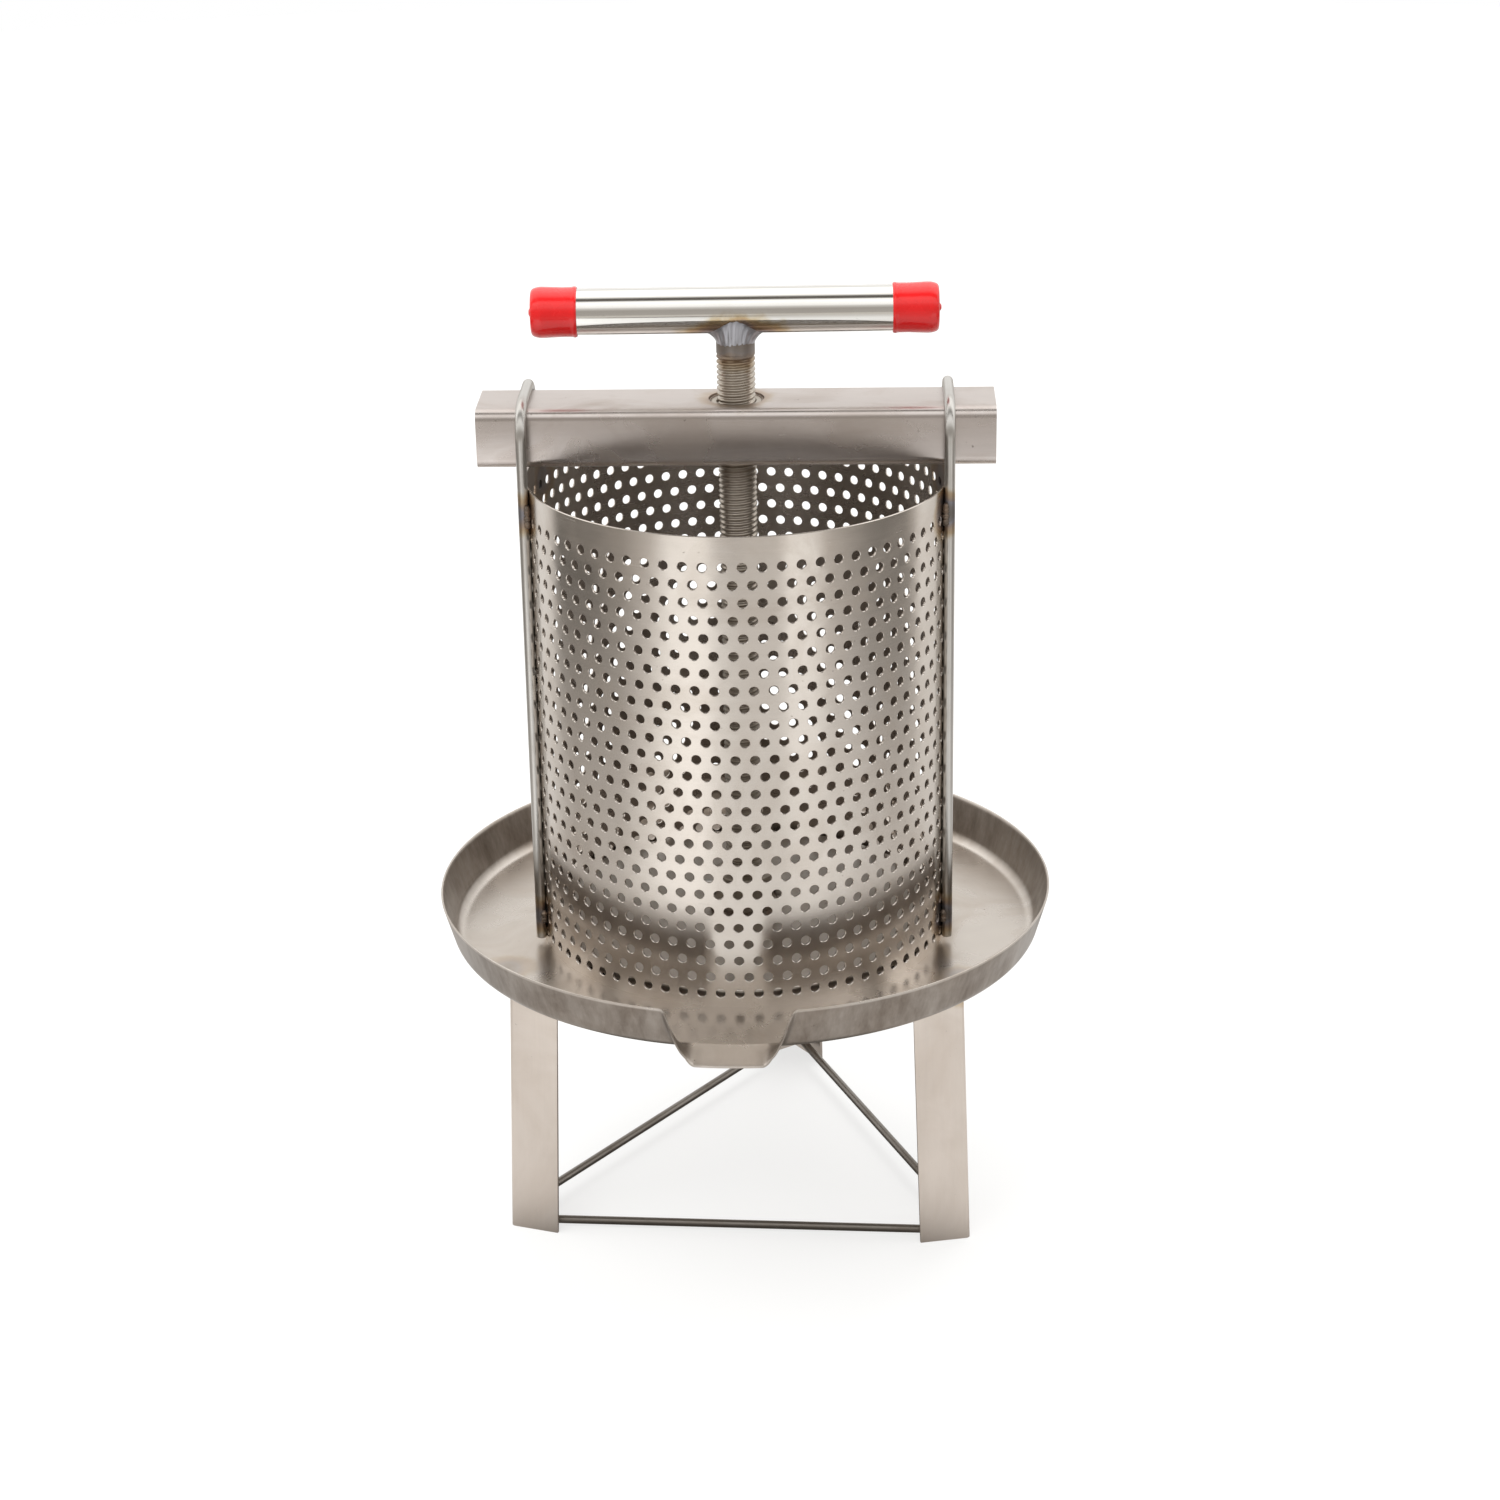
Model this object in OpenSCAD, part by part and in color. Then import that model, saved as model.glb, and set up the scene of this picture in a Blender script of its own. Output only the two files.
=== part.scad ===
// Small stainless screw press for honeycomb and wax.
// A perforated basket stands in a shallow tray on three angle legs. A screw, turned by a tube
// handle, runs in a nut in the crossbeam, which is caught under two rod loops, and drives a
// round plate down onto the comb. Honey leaves the basket and runs off over the tray's spout.
// Millimetres, +Z up, ground at z = 0, screw axis at x = y = 0, spout towards -Y.

/* [Basket] */
// Outer radius of the basket
basket_r = 100; // [70:1:160]
// Height of the basket
basket_h = 230.5; // [120:0.5:400]
// Sheet thickness of the basket
basket_t = 1; // [0.8:0.1:2]
// Thickness of the basket's bottom
basket_bottom_t = 1.5; // [1:0.1:3]
// Width of the weld bead down the basket's seam
seam_w = 3; // [2:0.5:8]
// Height of the seam bead above the sheet
seam_rise = 0.6; // [0.3:0.1:1.5]

/* [Tray] */
// Height of the tray floor's upper face above the ground
tray_floor_z = 140; // [60:1:300]
// Space between the basket and the foot of the tray's wall
tray_margin = 44.5; // [20:0.5:90]
// Height of the rim above the tray floor
tray_depth = 21.5; // [14:0.5:60]
// How far the wall leans out from its foot to the rim
tray_flare = 4.5; // [1:0.5:8]
// Outer radius of the corner between floor and wall
tray_corner_r = 7; // [3:0.5:10]
// Sheet thickness of the tray and the spout
tray_t = 1; // [0.8:0.1:2]

/* [Spout] */
// How far the lip reaches beyond the foot of the tray's wall
spout_out = 9.5; // [8:0.5:40]
// Width of the spout where it leaves the tray
spout_root_w = 60; // [46:1:80]
// Width of the spout's lip
spout_lip_w = 38; // [26:1:44]
// How far the lip hangs below the tray floor
spout_drop = 3; // [1:0.5:8]
// Radius of the lip's two corners
spout_corner_r = 6; // [3:0.5:10]

/* [Legs] */
// Distance from the edge of the tray's flat floor to a front leg's outer corner
leg_inset = 11.5; // [6:0.5:30]
// How far each leg spreads from top to foot
leg_spread = 5; // [0:0.5:20]
// Width of each flange of the angle section
leg_flange = 25; // [16:1:36]
// Thickness of the angle section
leg_t = 1.5; // [1:0.1:3]
// Angle between each front leg and the spout, seen from above
front_leg_angle = 60; // [50:1:75]
// How far both front legs are turned to the left of even about the spout
front_leg_turn = 1.7; // [-4:0.1:4]
// How far the rear leg is turned round from straight behind
rear_leg_turn = 7.5; // [-10:0.5:10]
// How much further out than the front legs the rear leg stands
rear_leg_out = 8; // [0:0.5:9]
// Leg length of the fillet welds under the tray
leg_weld = 2; // [1:0.5:3]

/* [Tie rods] */
// Diameter of the tie rods between the feet
tie_d = 4; // [3:0.5:6]
// Height of the front tie rod above the ground
tie_front_z = 1.5; // [1:0.5:30]
// Gap between the front and the side tie rods, one above the other
tie_gap = 0.3; // [0.3:0.1:20]
// Distance along a flange from its corner to a tie rod's end
tie_inset = 9; // [6:0.5:10]
// Diameter of the weld beads on the tie rods
tie_bead_d = 3; // [2:0.5:3.5]
// Length of those beads
tie_bead_l = 5; // [3:0.5:6]

/* [Loops] */
// Diameter of the loop rod
loop_d = 5; // [4:0.5:8]
// Gap between the crossbeam's side and a loop's upright
loop_side_gap = 6; // [3:0.5:12]
// Gap between the crossbeam's top and the loops
loop_top_gap = 0.3; // [0.2:0.1:10]
// Radius of the loop's bends, on the inside
loop_bend_r = 12; // [8:0.5:12]
// Gap between the loops' feet and the tray floor
loop_foot_gap = 3; // [1:0.5:10]
// Diameter of the weld beads between loop and basket
loop_bead_d = 3; // [2:0.5:4]
// Length of those beads
loop_weld_l = 12; // [6:1:20]

/* [Crossbeam] */
// Gap between the basket's rim and the crossbeam
beam_gap = 7; // [3:0.5:30]
// How far each end of the crossbeam sticks out past the basket
beam_overhang = 20; // [12:1:60]
// Width of the crossbeam
beam_w = 40; // [36:1:60]
// Height of the crossbeam
beam_h = 28; // [20:1:50]
// Wall of the crossbeam
beam_wall = 1.5; // [1:0.1:3]
// Outer corner radius of the crossbeam
beam_corner_r = 5; // [4:0.5:8]
// How far the crossbeam and its loops stand turned from square to the spout
beam_turn = 1.3; // [-30:0.1:30]

/* [Screw and nut] */
// Outside diameter of the screw
screw_d = 18; // [14:1:24]
// Radial running clearance of the screw in its nut and its socket
screw_fit = 0.06; // [0.03:0.01:0.1]
// Wall of the nut round the screw
nut_wall = 3; // [2:0.5:8]
// Width of the weld between the nut and the crossbeam's top
nut_weld_w = 1; // [0.5:0.1:3]
// How far the nut's top lies below the crossbeam's top
nut_recess = 1; // [0.5:0.1:1.3]
// Gap round the screw in the crossbeam's lower wall
screw_hole_gap = 0.8; // [0.4:0.1:2]

/* [Press plate] */
// Gap between the press plate's edge and the basket
plate_gap = 4; // [1.5:0.5:15]
// Thickness of the press plate
plate_t = 4; // [3:0.5:10]
// Gap between the press plate and the basket's bottom when screwed right down
plate_rest_gap = 0.5; // [0.3:0.1:10]
// Wall of the socket round the screw's foot
socket_wall = 6; // [5:0.5:12]
// Height of the socket
socket_h = 20; // [18:1:40]
// Gap under the screw's foot
foot_gap = 0.1; // [0.05:0.05:1]
// Diameter of the two keeper screws
keeper_d = 5; // [4:1:6]
// Diameter of the keeper screws' heads
keeper_head_d = 8; // [7:0.5:10]
// Depth of the groove that the keeper screws run in
groove_depth = 2.5; // [2:0.5:4]
// Clearance of the keeper screws in that groove
groove_gap = 0.5; // [0.3:0.1:1]

/* [Handle] */
// Turn at which the handle stands, seen from above
handle_turn = 2.5; // [-180:0.5:180]
// Gap between the crossbeam and the handle tube when screwed right down
handle_gap = 31.2; // [15:0.1:80]
// Outside diameter of the handle tube
handle_d = 21.3; // [19:0.1:30]
// Wall of the handle tube
handle_wall = 1.5; // [1:0.1:2.5]
// Length of the handle over its caps
handle_l = 190; // [120:1:400]
// Length of each end cap
cap_l = 22.5; // [15:0.5:50]
// Wall of each end cap
cap_wall = 1.2; // [0.8:0.1:3]
// Thickness of each cap's closed end
cap_end = 2.5; // [2:0.1:6]
// Leg length of the weld between screw and handle
handle_weld_leg = 5; // [3:0.5:8]

/* [Hidden] */

$fn = 96;
corner_steps = 8; // flats round the tray's corner
seat_gap = 0.05;  // between a rod and the face it is welded to
past = 20;        // how far a cutter or an uncut end runs on past a face

steel = [0.76, 0.73, 0.70];
rod_steel = [0.50, 0.48, 0.45];
beam_steel = [0.62, 0.58, 0.55];
bead = [0.36, 0.30, 0.26];
vinyl = [0.95, 0.06, 0.08];

// heights
tray_under_z = tray_floor_z - tray_t;
basket_top_z = tray_floor_z + basket_h;
beam_z = basket_top_z + beam_gap;
beam_top_z = beam_z + beam_h;
handle_z = beam_top_z + handle_gap + handle_d / 2;
plate_z = tray_floor_z + basket_bottom_t + plate_rest_gap;
plate_top_z = plate_z + plate_t;
screw_foot_z = plate_top_z + foot_gap;
tie_side_z = tie_front_z + tie_d + tie_gap;

// tray radii, and the angle at which its wall leans out
tray_base_r = basket_r + tray_margin;
flat_r = tray_base_r - tray_corner_r;
wall_rise = tray_depth + tray_t - tray_corner_r;
wall_lean = atan(tray_flare / wall_rise);
wall_l = (wall_rise + (tray_corner_r - tray_t) * sin(wall_lean)) / cos(wall_lean);

// each leg: its angle round from the spout, and the radius of its outer corner at the top
leg_top_r = flat_r - leg_inset;
left_leg = [-front_leg_angle - front_leg_turn, leg_top_r];
right_leg = [front_leg_angle - front_leg_turn, leg_top_r];
rear_leg = [180 - rear_leg_turn, leg_top_r + rear_leg_out];

// loops: half the distance between uprights, and where they touch the basket
loop_half = beam_w / 2 + loop_side_gap + loop_d / 2;
loop_x = sqrt(pow(basket_r + loop_d / 2, 2) - pow(loop_half, 2));
loop_top_z = beam_top_z + loop_top_gap + loop_d / 2;
loop_foot_z = tray_floor_z + loop_foot_gap;
bend_r = loop_bend_r + loop_d / 2;

screw_r = screw_d / 2;
running_r = screw_r + screw_fit;
nut_r = screw_r + nut_wall;
nut_hole_r = nut_r + nut_weld_w;
neck_r = screw_r - groove_depth;
socket_r = screw_r + socket_wall;
keeper_z = plate_top_z + socket_h / 2;
beam_l = 2 * (basket_r + beam_overhang);
handle_r = handle_d / 2;

// Unit vector at angle a round from the spout, +a towards +X
function out(a) = [sin(a), -cos(a)];

// Radius of a leg's outer corner at height z
function leg_r(leg, z) = leg[1] + leg_spread * (1 - z / tray_under_z);

// A point at height z inside a leg: run along one flange from its corner (side = 1 or -1),
// and off away from that flange's inner face
function in_leg(leg, side, run, off, z) =
    let (spot = leg_r(leg, z) * out(leg[0]) - out(leg[0] + side * 45) * run
                - out(leg[0] - side * 45) * (leg_t + off))
    [spot[0], spot[1], z];

// Axis of a tie rod's end, lying along the flange
function tie_end(leg, side, z) = in_leg(leg, side, tie_inset, tie_d / 2 + seat_gap, z);

// ---------- shapes that repeat ----------

// Straight round rod between two points
module rod(a, b, d) {
    v = b - a;
    translate(a)
        rotate([0, acos(v[2] / norm(v)), atan2(v[1], v[0])])
            cylinder(d = d, h = norm(v), $fn = 32);
}

// Flat ring standing on z = 0
module ring(r_out, r_in, h) {
    difference() {
        cylinder(r = r_out, h = h);
        translate([0, 0, -past])
            cylinder(r = r_in, h = h + 2 * past);
    }
}

// Rectangle with round corners, centred
module rounded_rect(w, h, r) {
    square([w - 2 * r, h], center = true);
    square([w, h - 2 * r], center = true);
    for (x = [-1, 1], y = [-1, 1])
        translate([x * (w / 2 - r), y * (h / 2 - r)])
            circle(r = r, $fn = 48);
}

// Angle section leg, outer corner away from the axis, cut level at the ground and the tray
module angle_leg(leg) {
    foot = leg_r(leg, 0) * out(leg[0]);
    intersection() {
        translate([foot[0], foot[1], 0])
            rotate([0, -atan(leg_spread / tray_under_z), leg[0] - 90])
                translate([0, 0, -past])
                    linear_extrude(height = tray_under_z + 2 * past)
                        rotate(135)
                            difference() {
                                square(leg_flange);
                                translate([leg_t, leg_t])
                                    square(leg_flange);
                            }
        translate([-2 * tray_base_r, -2 * tray_base_r, 0])
            cube([4 * tray_base_r, 4 * tray_base_r, tray_under_z]);
    }
}

// Fillet beads along both flanges of one leg, under the tray
module leg_beads(leg) {
    top = leg_r(leg, tray_under_z) * out(leg[0]);
    difference() {
        for (side = [-1, 1]) {
            // middle of the flange's edge, from just past the corner to just short of its end
            mid = top - out(leg[0] - side * 45) * leg_t / 2;
            start = mid + out(leg[0] + side * 45) * leg_weld;
            end = mid - out(leg[0] + side * 45) * (leg_flange - leg_weld);
            intersection() {
                rod([start[0], start[1], tray_under_z], [end[0], end[1], tray_under_z],
                    leg_t + 2 * leg_weld);
                translate([-2 * tray_base_r, -2 * tray_base_r, tray_under_z - past])
                    cube([4 * tray_base_r, 4 * tray_base_r, past]);
            }
        }
        angle_leg(leg);
    }
}

// Bead in the corner between a flange and the top of a tie rod whose axis is at height z
module tie_bead(leg, side, z) {
    r = tie_bead_d / 2;
    bead_z = z + sqrt(tie_d * tie_bead_d) + seat_gap;
    rod(in_leg(leg, side, tie_inset, r + seat_gap, bead_z),
        in_leg(leg, side, tie_inset + tie_bead_l, r + seat_gap, bead_z), tie_bead_d);
}

// One rod loop at x = 0: two uprights, two bends and a level top
module rod_loop() {
    bend_y = loop_half - bend_r;
    bend_z = loop_top_z - bend_r;
    for (side = [-1, 1]) {
        translate([0, side * loop_half, loop_foot_z])
            cylinder(d = loop_d, h = bend_z - loop_foot_z, $fn = 32);
        translate([0, side * bend_y, bend_z])
            rotate([0, 90, 0])
                rotate([0, 0, side > 0 ? 90 : 180])
                    rotate_extrude(angle = 90, $fn = 96)
                        translate([bend_r, 0])
                            circle(d = loop_d, $fn = 32);
    }
    rod([0, -bend_y, loop_top_z], [0, bend_y, loop_top_z], loop_d);
}

// Beads in the corners between a loop's uprights and the basket, side = -1 or 1
module loop_beads(side) {
    to_rod = basket_r + loop_d / 2;
    to_bead = basket_r + loop_bead_d / 2 + seat_gap;
    apart = loop_d / 2 + loop_bead_d / 2 + seat_gap;
    turn = acos((pow(to_rod, 2) + pow(to_bead, 2) - pow(apart, 2)) / (2 * to_rod * to_bead));
    rod_at = asin(loop_half / to_rod);
    for (y = [-1, 1], by = [-turn, turn],
         z = [loop_foot_z + loop_weld_l / 2, basket_top_z - 1.5 * loop_weld_l])
        rotate(side * y * (rod_at + by))
            translate([side * to_bead, 0, z])
                cylinder(d = loop_bead_d, h = loop_weld_l, $fn = 32);
}

// Push-on cap over the handle's end, pointing to +X
module end_cap() {
    outer_r = handle_r + cap_wall;
    round_r = 2 * cap_wall;
    translate([handle_l / 2 - cap_l, 0, handle_z])
        rotate([0, 90, 0])
            rotate_extrude()
                difference() {
                    union() {
                        square([outer_r, cap_l - round_r]);
                        square([outer_r - round_r, cap_l]);
                        translate([outer_r - round_r, cap_l - round_r])
                            intersection() {
                                circle(r = round_r, $fn = 48);
                                square(2 * round_r);
                            }
                    }
                    translate([-past, -past])
                        square([handle_r + past, cap_l - cap_end + past]);
                }
}

// ---------- stand ----------

// Points of the tray's corner at radius r round its centre, from the floor up to the wall
function corner_arc(r) =
    [for (i = [0:corner_steps])
        let (a = -90 + (90 - wall_lean) * i / corner_steps)
        [flat_r + r * cos(a), tray_corner_r - tray_t + r * sin(a)]];

// The tray's sheet cut through, floor level at y = 0
module tray_outline() {
    up = wall_l * [sin(wall_lean), cos(wall_lean)];
    outside = corner_arc(tray_corner_r);
    inside = corner_arc(tray_corner_r - tray_t);
    polygon(concat([[0, -tray_t]], outside, [outside[corner_steps] + up],
                   [inside[corner_steps] + up], [for (i = [0:corner_steps]) inside[corner_steps - i]],
                   [[0, 0]]));
}

module tray_pan() {
    color(steel)
        difference() {
            translate([0, 0, tray_floor_z])
                rotate_extrude($fn = 180)
                    tray_outline();
            // gap in the wall where the spout leads out
            translate([-spout_root_w / 2, -2 * tray_base_r, tray_floor_z])
                cube([spout_root_w, tray_base_r * 2 - basket_r, 2 * tray_depth]);
        }
}

// Where the spout starts, and how far it runs from there
spout_y = -sqrt(pow(tray_base_r, 2) - pow(spout_root_w / 2, 2));
spout_run = tray_base_r + spout_out + spout_y;
spout_slope = atan((spout_drop + tray_t) / spout_run);

// Upright side of the spout, from the tray's rim down to the lip
module spout_side(side) {
    root = [side * (spout_root_w / 2 - tray_t / 2), spout_y];
    lip = [side * (spout_lip_w / 2 - tray_t / 2), spout_y - spout_run + spout_corner_r];
    v = lip - root;
    low = -norm(v) * tan(spout_slope);
    translate([root[0], root[1], tray_floor_z])
        rotate([90, 0, atan2(v[1], v[0])])
            translate([0, 0, -tray_t / 2])
                linear_extrude(height = tray_t)
                    polygon([[0, -tray_t / 2], [0, tray_depth], [2 * tray_t, tray_depth],
                             [norm(v), low + 2 * tray_t], [norm(v), low - tray_t / 2]]);
}

module pour_spout() {
    corner_x = spout_lip_w / 2 - spout_corner_r;
    color(steel)
        difference() {
            union() {
                translate([0, spout_y, tray_floor_z])
                    rotate([spout_slope, 0, 0])
                        translate([0, 0, -tray_t])
                            linear_extrude(height = tray_t) {
                                polygon([[-spout_root_w / 2, 0], [spout_root_w / 2, 0],
                                         [spout_lip_w / 2, spout_corner_r - spout_run],
                                         [-spout_lip_w / 2, spout_corner_r - spout_run]]);
                                translate([-corner_x, -spout_run])
                                    square([2 * corner_x, spout_run / 2]);
                                for (side = [-1, 1])
                                    translate([side * corner_x, spout_corner_r - spout_run])
                                        circle(r = spout_corner_r, $fn = 48);
                            }
                for (side = [-1, 1])
                    spout_side(side);
            }
            tray_pan();
            // only what lies outside the tray's wall is spout
            translate([0, 0, tray_under_z])
                cylinder(r = flat_r, h = past, $fn = 180);
        }
}

module leg_front_left() {
    color(steel)
        angle_leg(left_leg);
}

module leg_front_right() {
    color(steel)
        angle_leg(right_leg);
}

module leg_rear() {
    color(steel)
        angle_leg(rear_leg);
}

module leg_welds() {
    color(bead)
        for (leg = [left_leg, right_leg, rear_leg])
            leg_beads(leg);
}

// Heights of the tie rods' axes, and each rod's two ends as [leg, side, height]
front_z = tie_front_z + tie_d / 2;
side_z = tie_side_z + tie_d / 2;
tie_front = [[left_leg, -1, front_z], [right_leg, 1, front_z]];
tie_left = [[left_leg, 1, side_z], [rear_leg, -1, side_z]];
tie_right = [[right_leg, -1, side_z], [rear_leg, 1, side_z]];

module tie_rod(tie) {
    color(rod_steel)
        rod(tie_end(tie[0][0], tie[0][1], tie[0][2]), tie_end(tie[1][0], tie[1][1], tie[1][2]), tie_d);
}

module tie_rod_front() {
    tie_rod(tie_front);
}

module tie_rod_left() {
    tie_rod(tie_left);
}

module tie_rod_right() {
    tie_rod(tie_right);
}

module tie_rod_welds() {
    color(bead)
        for (tie = [tie_front, tie_left, tie_right], end = tie)
            tie_bead(end[0], end[1], end[2]);
}

// ---------- basket ----------

module basket_shell() {
    color(steel)
        translate([0, 0, tray_floor_z])
            ring(basket_r, basket_r - basket_t, basket_h, $fn = 180);
}

module basket_bottom() {
    color(steel)
        translate([0, 0, tray_floor_z])
            cylinder(r = basket_r - basket_t, h = basket_bottom_t, $fn = 180);
}

module basket_seam_weld() {
    color(bead)
        intersection() {
            translate([0, 0, tray_floor_z])
                ring(basket_r + seam_rise, basket_r, basket_h, $fn = 180);
            translate([-seam_w / 2, 0, 0])
                cube([seam_w, 2 * basket_r, basket_top_z]);
        }
}

module loop_left() {
    color(rod_steel)
        rotate(beam_turn)
            translate([-loop_x, 0, 0])
                rod_loop();
}

module loop_right() {
    color(rod_steel)
        rotate(beam_turn)
            translate([loop_x, 0, 0])
                rod_loop();
}

module loop_welds_left() {
    color(bead)
        rotate(beam_turn)
            loop_beads(-1);
}

module loop_welds_right() {
    color(bead)
        rotate(beam_turn)
            loop_beads(1);
}

module crossbeam() {
    color(beam_steel)
        difference() {
            rotate(beam_turn)
                translate([-beam_l / 2, 0, beam_z + beam_h / 2])
                    rotate([90, 0, 90])
                        linear_extrude(height = beam_l)
                            difference() {
                                rounded_rect(beam_w, beam_h, beam_corner_r);
                                rounded_rect(beam_w - 2 * beam_wall, beam_h - 2 * beam_wall,
                                             beam_corner_r - beam_wall);
                            }
            // wide hole in the top for the nut, narrow hole in the bottom for the screw
            translate([0, 0, beam_z + beam_h / 2])
                cylinder(r = nut_hole_r, h = beam_h);
            translate([0, 0, beam_z - past])
                cylinder(r = screw_r + screw_hole_gap, h = past + beam_h / 2);
        }
}

module spindle_nut() {
    color(rod_steel)
        translate([0, 0, beam_z + beam_wall])
            ring(nut_r, running_r, beam_h - beam_wall - nut_recess);
}

module nut_weld() {
    color(bead)
        translate([0, 0, beam_top_z - beam_wall])
            ring(nut_hole_r, nut_r, beam_wall - nut_recess / 2);
}

// ---------- screw and handle ----------

module screw() {
    color(beam_steel)
        translate([0, 0, screw_foot_z])
            difference() {
                cylinder(r = screw_r, h = handle_z - screw_foot_z);
                // groove for the keeper screws
                translate([0, 0, keeper_z - screw_foot_z - keeper_d / 2 - groove_gap])
                    ring(2 * screw_r, neck_r, keeper_d + 2 * groove_gap);
            }
}

module handle_bar() {
    tube_l = handle_l - 2 * cap_end;
    color(steel)
        difference() {
            rotate(handle_turn)
                translate([-tube_l / 2, 0, handle_z])
                    rotate([0, 90, 0])
                        ring(handle_r, handle_r - handle_wall, tube_l);
            translate([0, 0, handle_z - 2 * handle_r])
                cylinder(r = screw_r, h = 2 * handle_r);
        }
}

module handle_weld() {
    top_z = handle_z - handle_r / 2;
    low_z = handle_z - handle_r - handle_weld_leg;
    color(bead)
        difference() {
            translate([0, 0, low_z])
                cylinder(r1 = screw_r, r2 = screw_r + handle_weld_leg, h = top_z - low_z);
            translate([0, 0, low_z - past])
                cylinder(r = screw_r, h = top_z - low_z + 2 * past);
            rotate(handle_turn)
                translate([-handle_l / 2, 0, handle_z])
                    rotate([0, 90, 0])
                        cylinder(r = handle_r, h = handle_l);
        }
}

module handle_cap_right() {
    color(vinyl)
        rotate(handle_turn)
            end_cap();
}

module handle_cap_left() {
    color(vinyl)
        rotate(handle_turn + 180)
            end_cap();
}

// ---------- press plate ----------

module press_plate() {
    color(steel)
        translate([0, 0, plate_z])
            cylinder(r = basket_r - basket_t - plate_gap, h = plate_t, $fn = 180);
}

module plate_socket() {
    color(rod_steel)
        difference() {
            translate([0, 0, plate_top_z])
                ring(socket_r, running_r, socket_h);
            // tapped holes for the keeper screws
            translate([-2 * socket_r, 0, keeper_z])
                rotate([0, 90, 0])
                    cylinder(d = keeper_d, h = 4 * socket_r, $fn = 48);
        }
}

module socket_weld() {
    color(bead)
        translate([0, 0, plate_top_z])
            difference() {
                cylinder(r1 = socket_r + 4, r2 = socket_r, h = 4);
                translate([0, 0, -past])
                    cylinder(r = socket_r, h = 2 * past);
            }
}

module keeper_screws() {
    tip = neck_r + groove_gap;
    color(steel)
        for (turn = [0, 180])
            rotate(turn)
                translate([tip, 0, keeper_z])
                    rotate([0, 90, 0])
                        difference() {
                            union() {
                                cylinder(d = keeper_d, h = socket_r - tip, $fn = 48);
                                translate([0, 0, socket_r - tip])
                                    cylinder(d = keeper_head_d, h = keeper_d, $fn = 48);
                            }
                            // hexagon socket in the head
                            translate([0, 0, socket_r - tip + keeper_d / 2])
                                cylinder(d = keeper_d, h = keeper_d, $fn = 6);
                        }
}

tray_pan();
pour_spout();
leg_front_left();
leg_front_right();
leg_rear();
leg_welds();
tie_rod_front();
tie_rod_left();
tie_rod_right();
tie_rod_welds();
basket_shell();
basket_bottom();
basket_seam_weld();
loop_left();
loop_right();
loop_welds_left();
loop_welds_right();
crossbeam();
spindle_nut();
nut_weld();
screw();
handle_bar();
handle_weld();
handle_cap_left();
handle_cap_right();
press_plate();
plate_socket();
socket_weld();
keeper_screws();
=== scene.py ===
"""Looks of a small stainless screw press for comb and wax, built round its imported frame.

Metres, +Z up, ground at z = 0, screw axis at x = y = 0, spout towards -Y.
An angle round the press is counted from the spout, positive towards +X.
"""

import math

import bpy
import numpy as np
from mathutils import Matrix, Vector


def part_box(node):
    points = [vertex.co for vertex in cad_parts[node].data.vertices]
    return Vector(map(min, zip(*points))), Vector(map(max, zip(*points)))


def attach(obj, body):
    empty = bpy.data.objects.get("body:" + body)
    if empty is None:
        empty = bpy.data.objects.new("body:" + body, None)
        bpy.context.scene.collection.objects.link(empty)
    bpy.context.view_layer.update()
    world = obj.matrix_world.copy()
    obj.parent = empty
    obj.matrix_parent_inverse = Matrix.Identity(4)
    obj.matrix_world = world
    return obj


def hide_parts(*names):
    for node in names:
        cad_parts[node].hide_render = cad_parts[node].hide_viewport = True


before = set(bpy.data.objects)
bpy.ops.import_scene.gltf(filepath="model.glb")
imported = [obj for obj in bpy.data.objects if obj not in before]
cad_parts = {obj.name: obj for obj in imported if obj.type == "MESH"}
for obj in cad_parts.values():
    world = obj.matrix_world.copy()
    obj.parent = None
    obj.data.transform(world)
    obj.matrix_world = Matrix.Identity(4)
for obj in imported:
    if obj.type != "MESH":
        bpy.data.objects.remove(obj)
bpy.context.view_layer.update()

bl_info = {
    "name": "Honey Press",
    "version": (1, 0, 0),
    "blender": (4, 5, 0),
    "location": "3D View > Sidebar > Honey Press",
    "description": "Builds a perforated basket press with its tray, legs, screw and handle",
    "category": "Add Mesh",
}

MM = 0.001
SHARP = math.radians(32)

# the pattern of light and dark that the steel mirrors, as (degrees, brightness): round the floor from the
# spout, near the press and further off, and over the top from the front horizon (0) to the back one (180)
NEAR_CARDS = (
    (-180, 0.85), (-120, 0.88), (-95, 0.58), (-62, 0.72), (-40, 1.35), (-22, 1.5), (-8, 1.1),
    (20, 1.0), (32, 1.1), (57, 1.05), (87, 0.72), (115, 0.85), (180, 0.9),
)
FAR_CARDS = (
    (-180, 0.7), (-150, 0.65), (-125, 1.05), (-114, 0.9), (-106, 0.06), (-76, 0.05), (-58, 0.22),
    (-44, 0.55), (-32, 1.35), (-15, 1.5), (-6, 1.05), (5, 0.72), (23, 0.75), (29, 1.45), (42, 1.30),
    (50, 0.50), (62, 0.28), (75, 0.10), (100, 0.05), (107, 0.5), (113, 1.1), (130, 0.85), (150, 0.8),
    (180, 0.7),
)
SKY_BANDS = (
    (-180, 0.5), (0, 0.45), (16, 0.42), (27, 0.7), (34, 1.15), (56, 1.45), (63, 1.1), (67, 0.14), (79, 0.14),
    (85, 0.9), (96, 1.7), (136, 1.5), (148, 0.93), (157, 0.93), (164, 1.26), (172, 1.15), (180, 0.8),
)


# ---------- settings ----------


def length(name, text, default):
    return bpy.props.FloatProperty(
        name=name, description=text, default=default, min=0, precision=5, subtype="DISTANCE", unit="LENGTH"
    )


def angle(name, text, degrees):
    return bpy.props.FloatProperty(
        name=name, description=text, default=math.radians(degrees), subtype="ANGLE", unit="ROTATION"
    )


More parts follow.
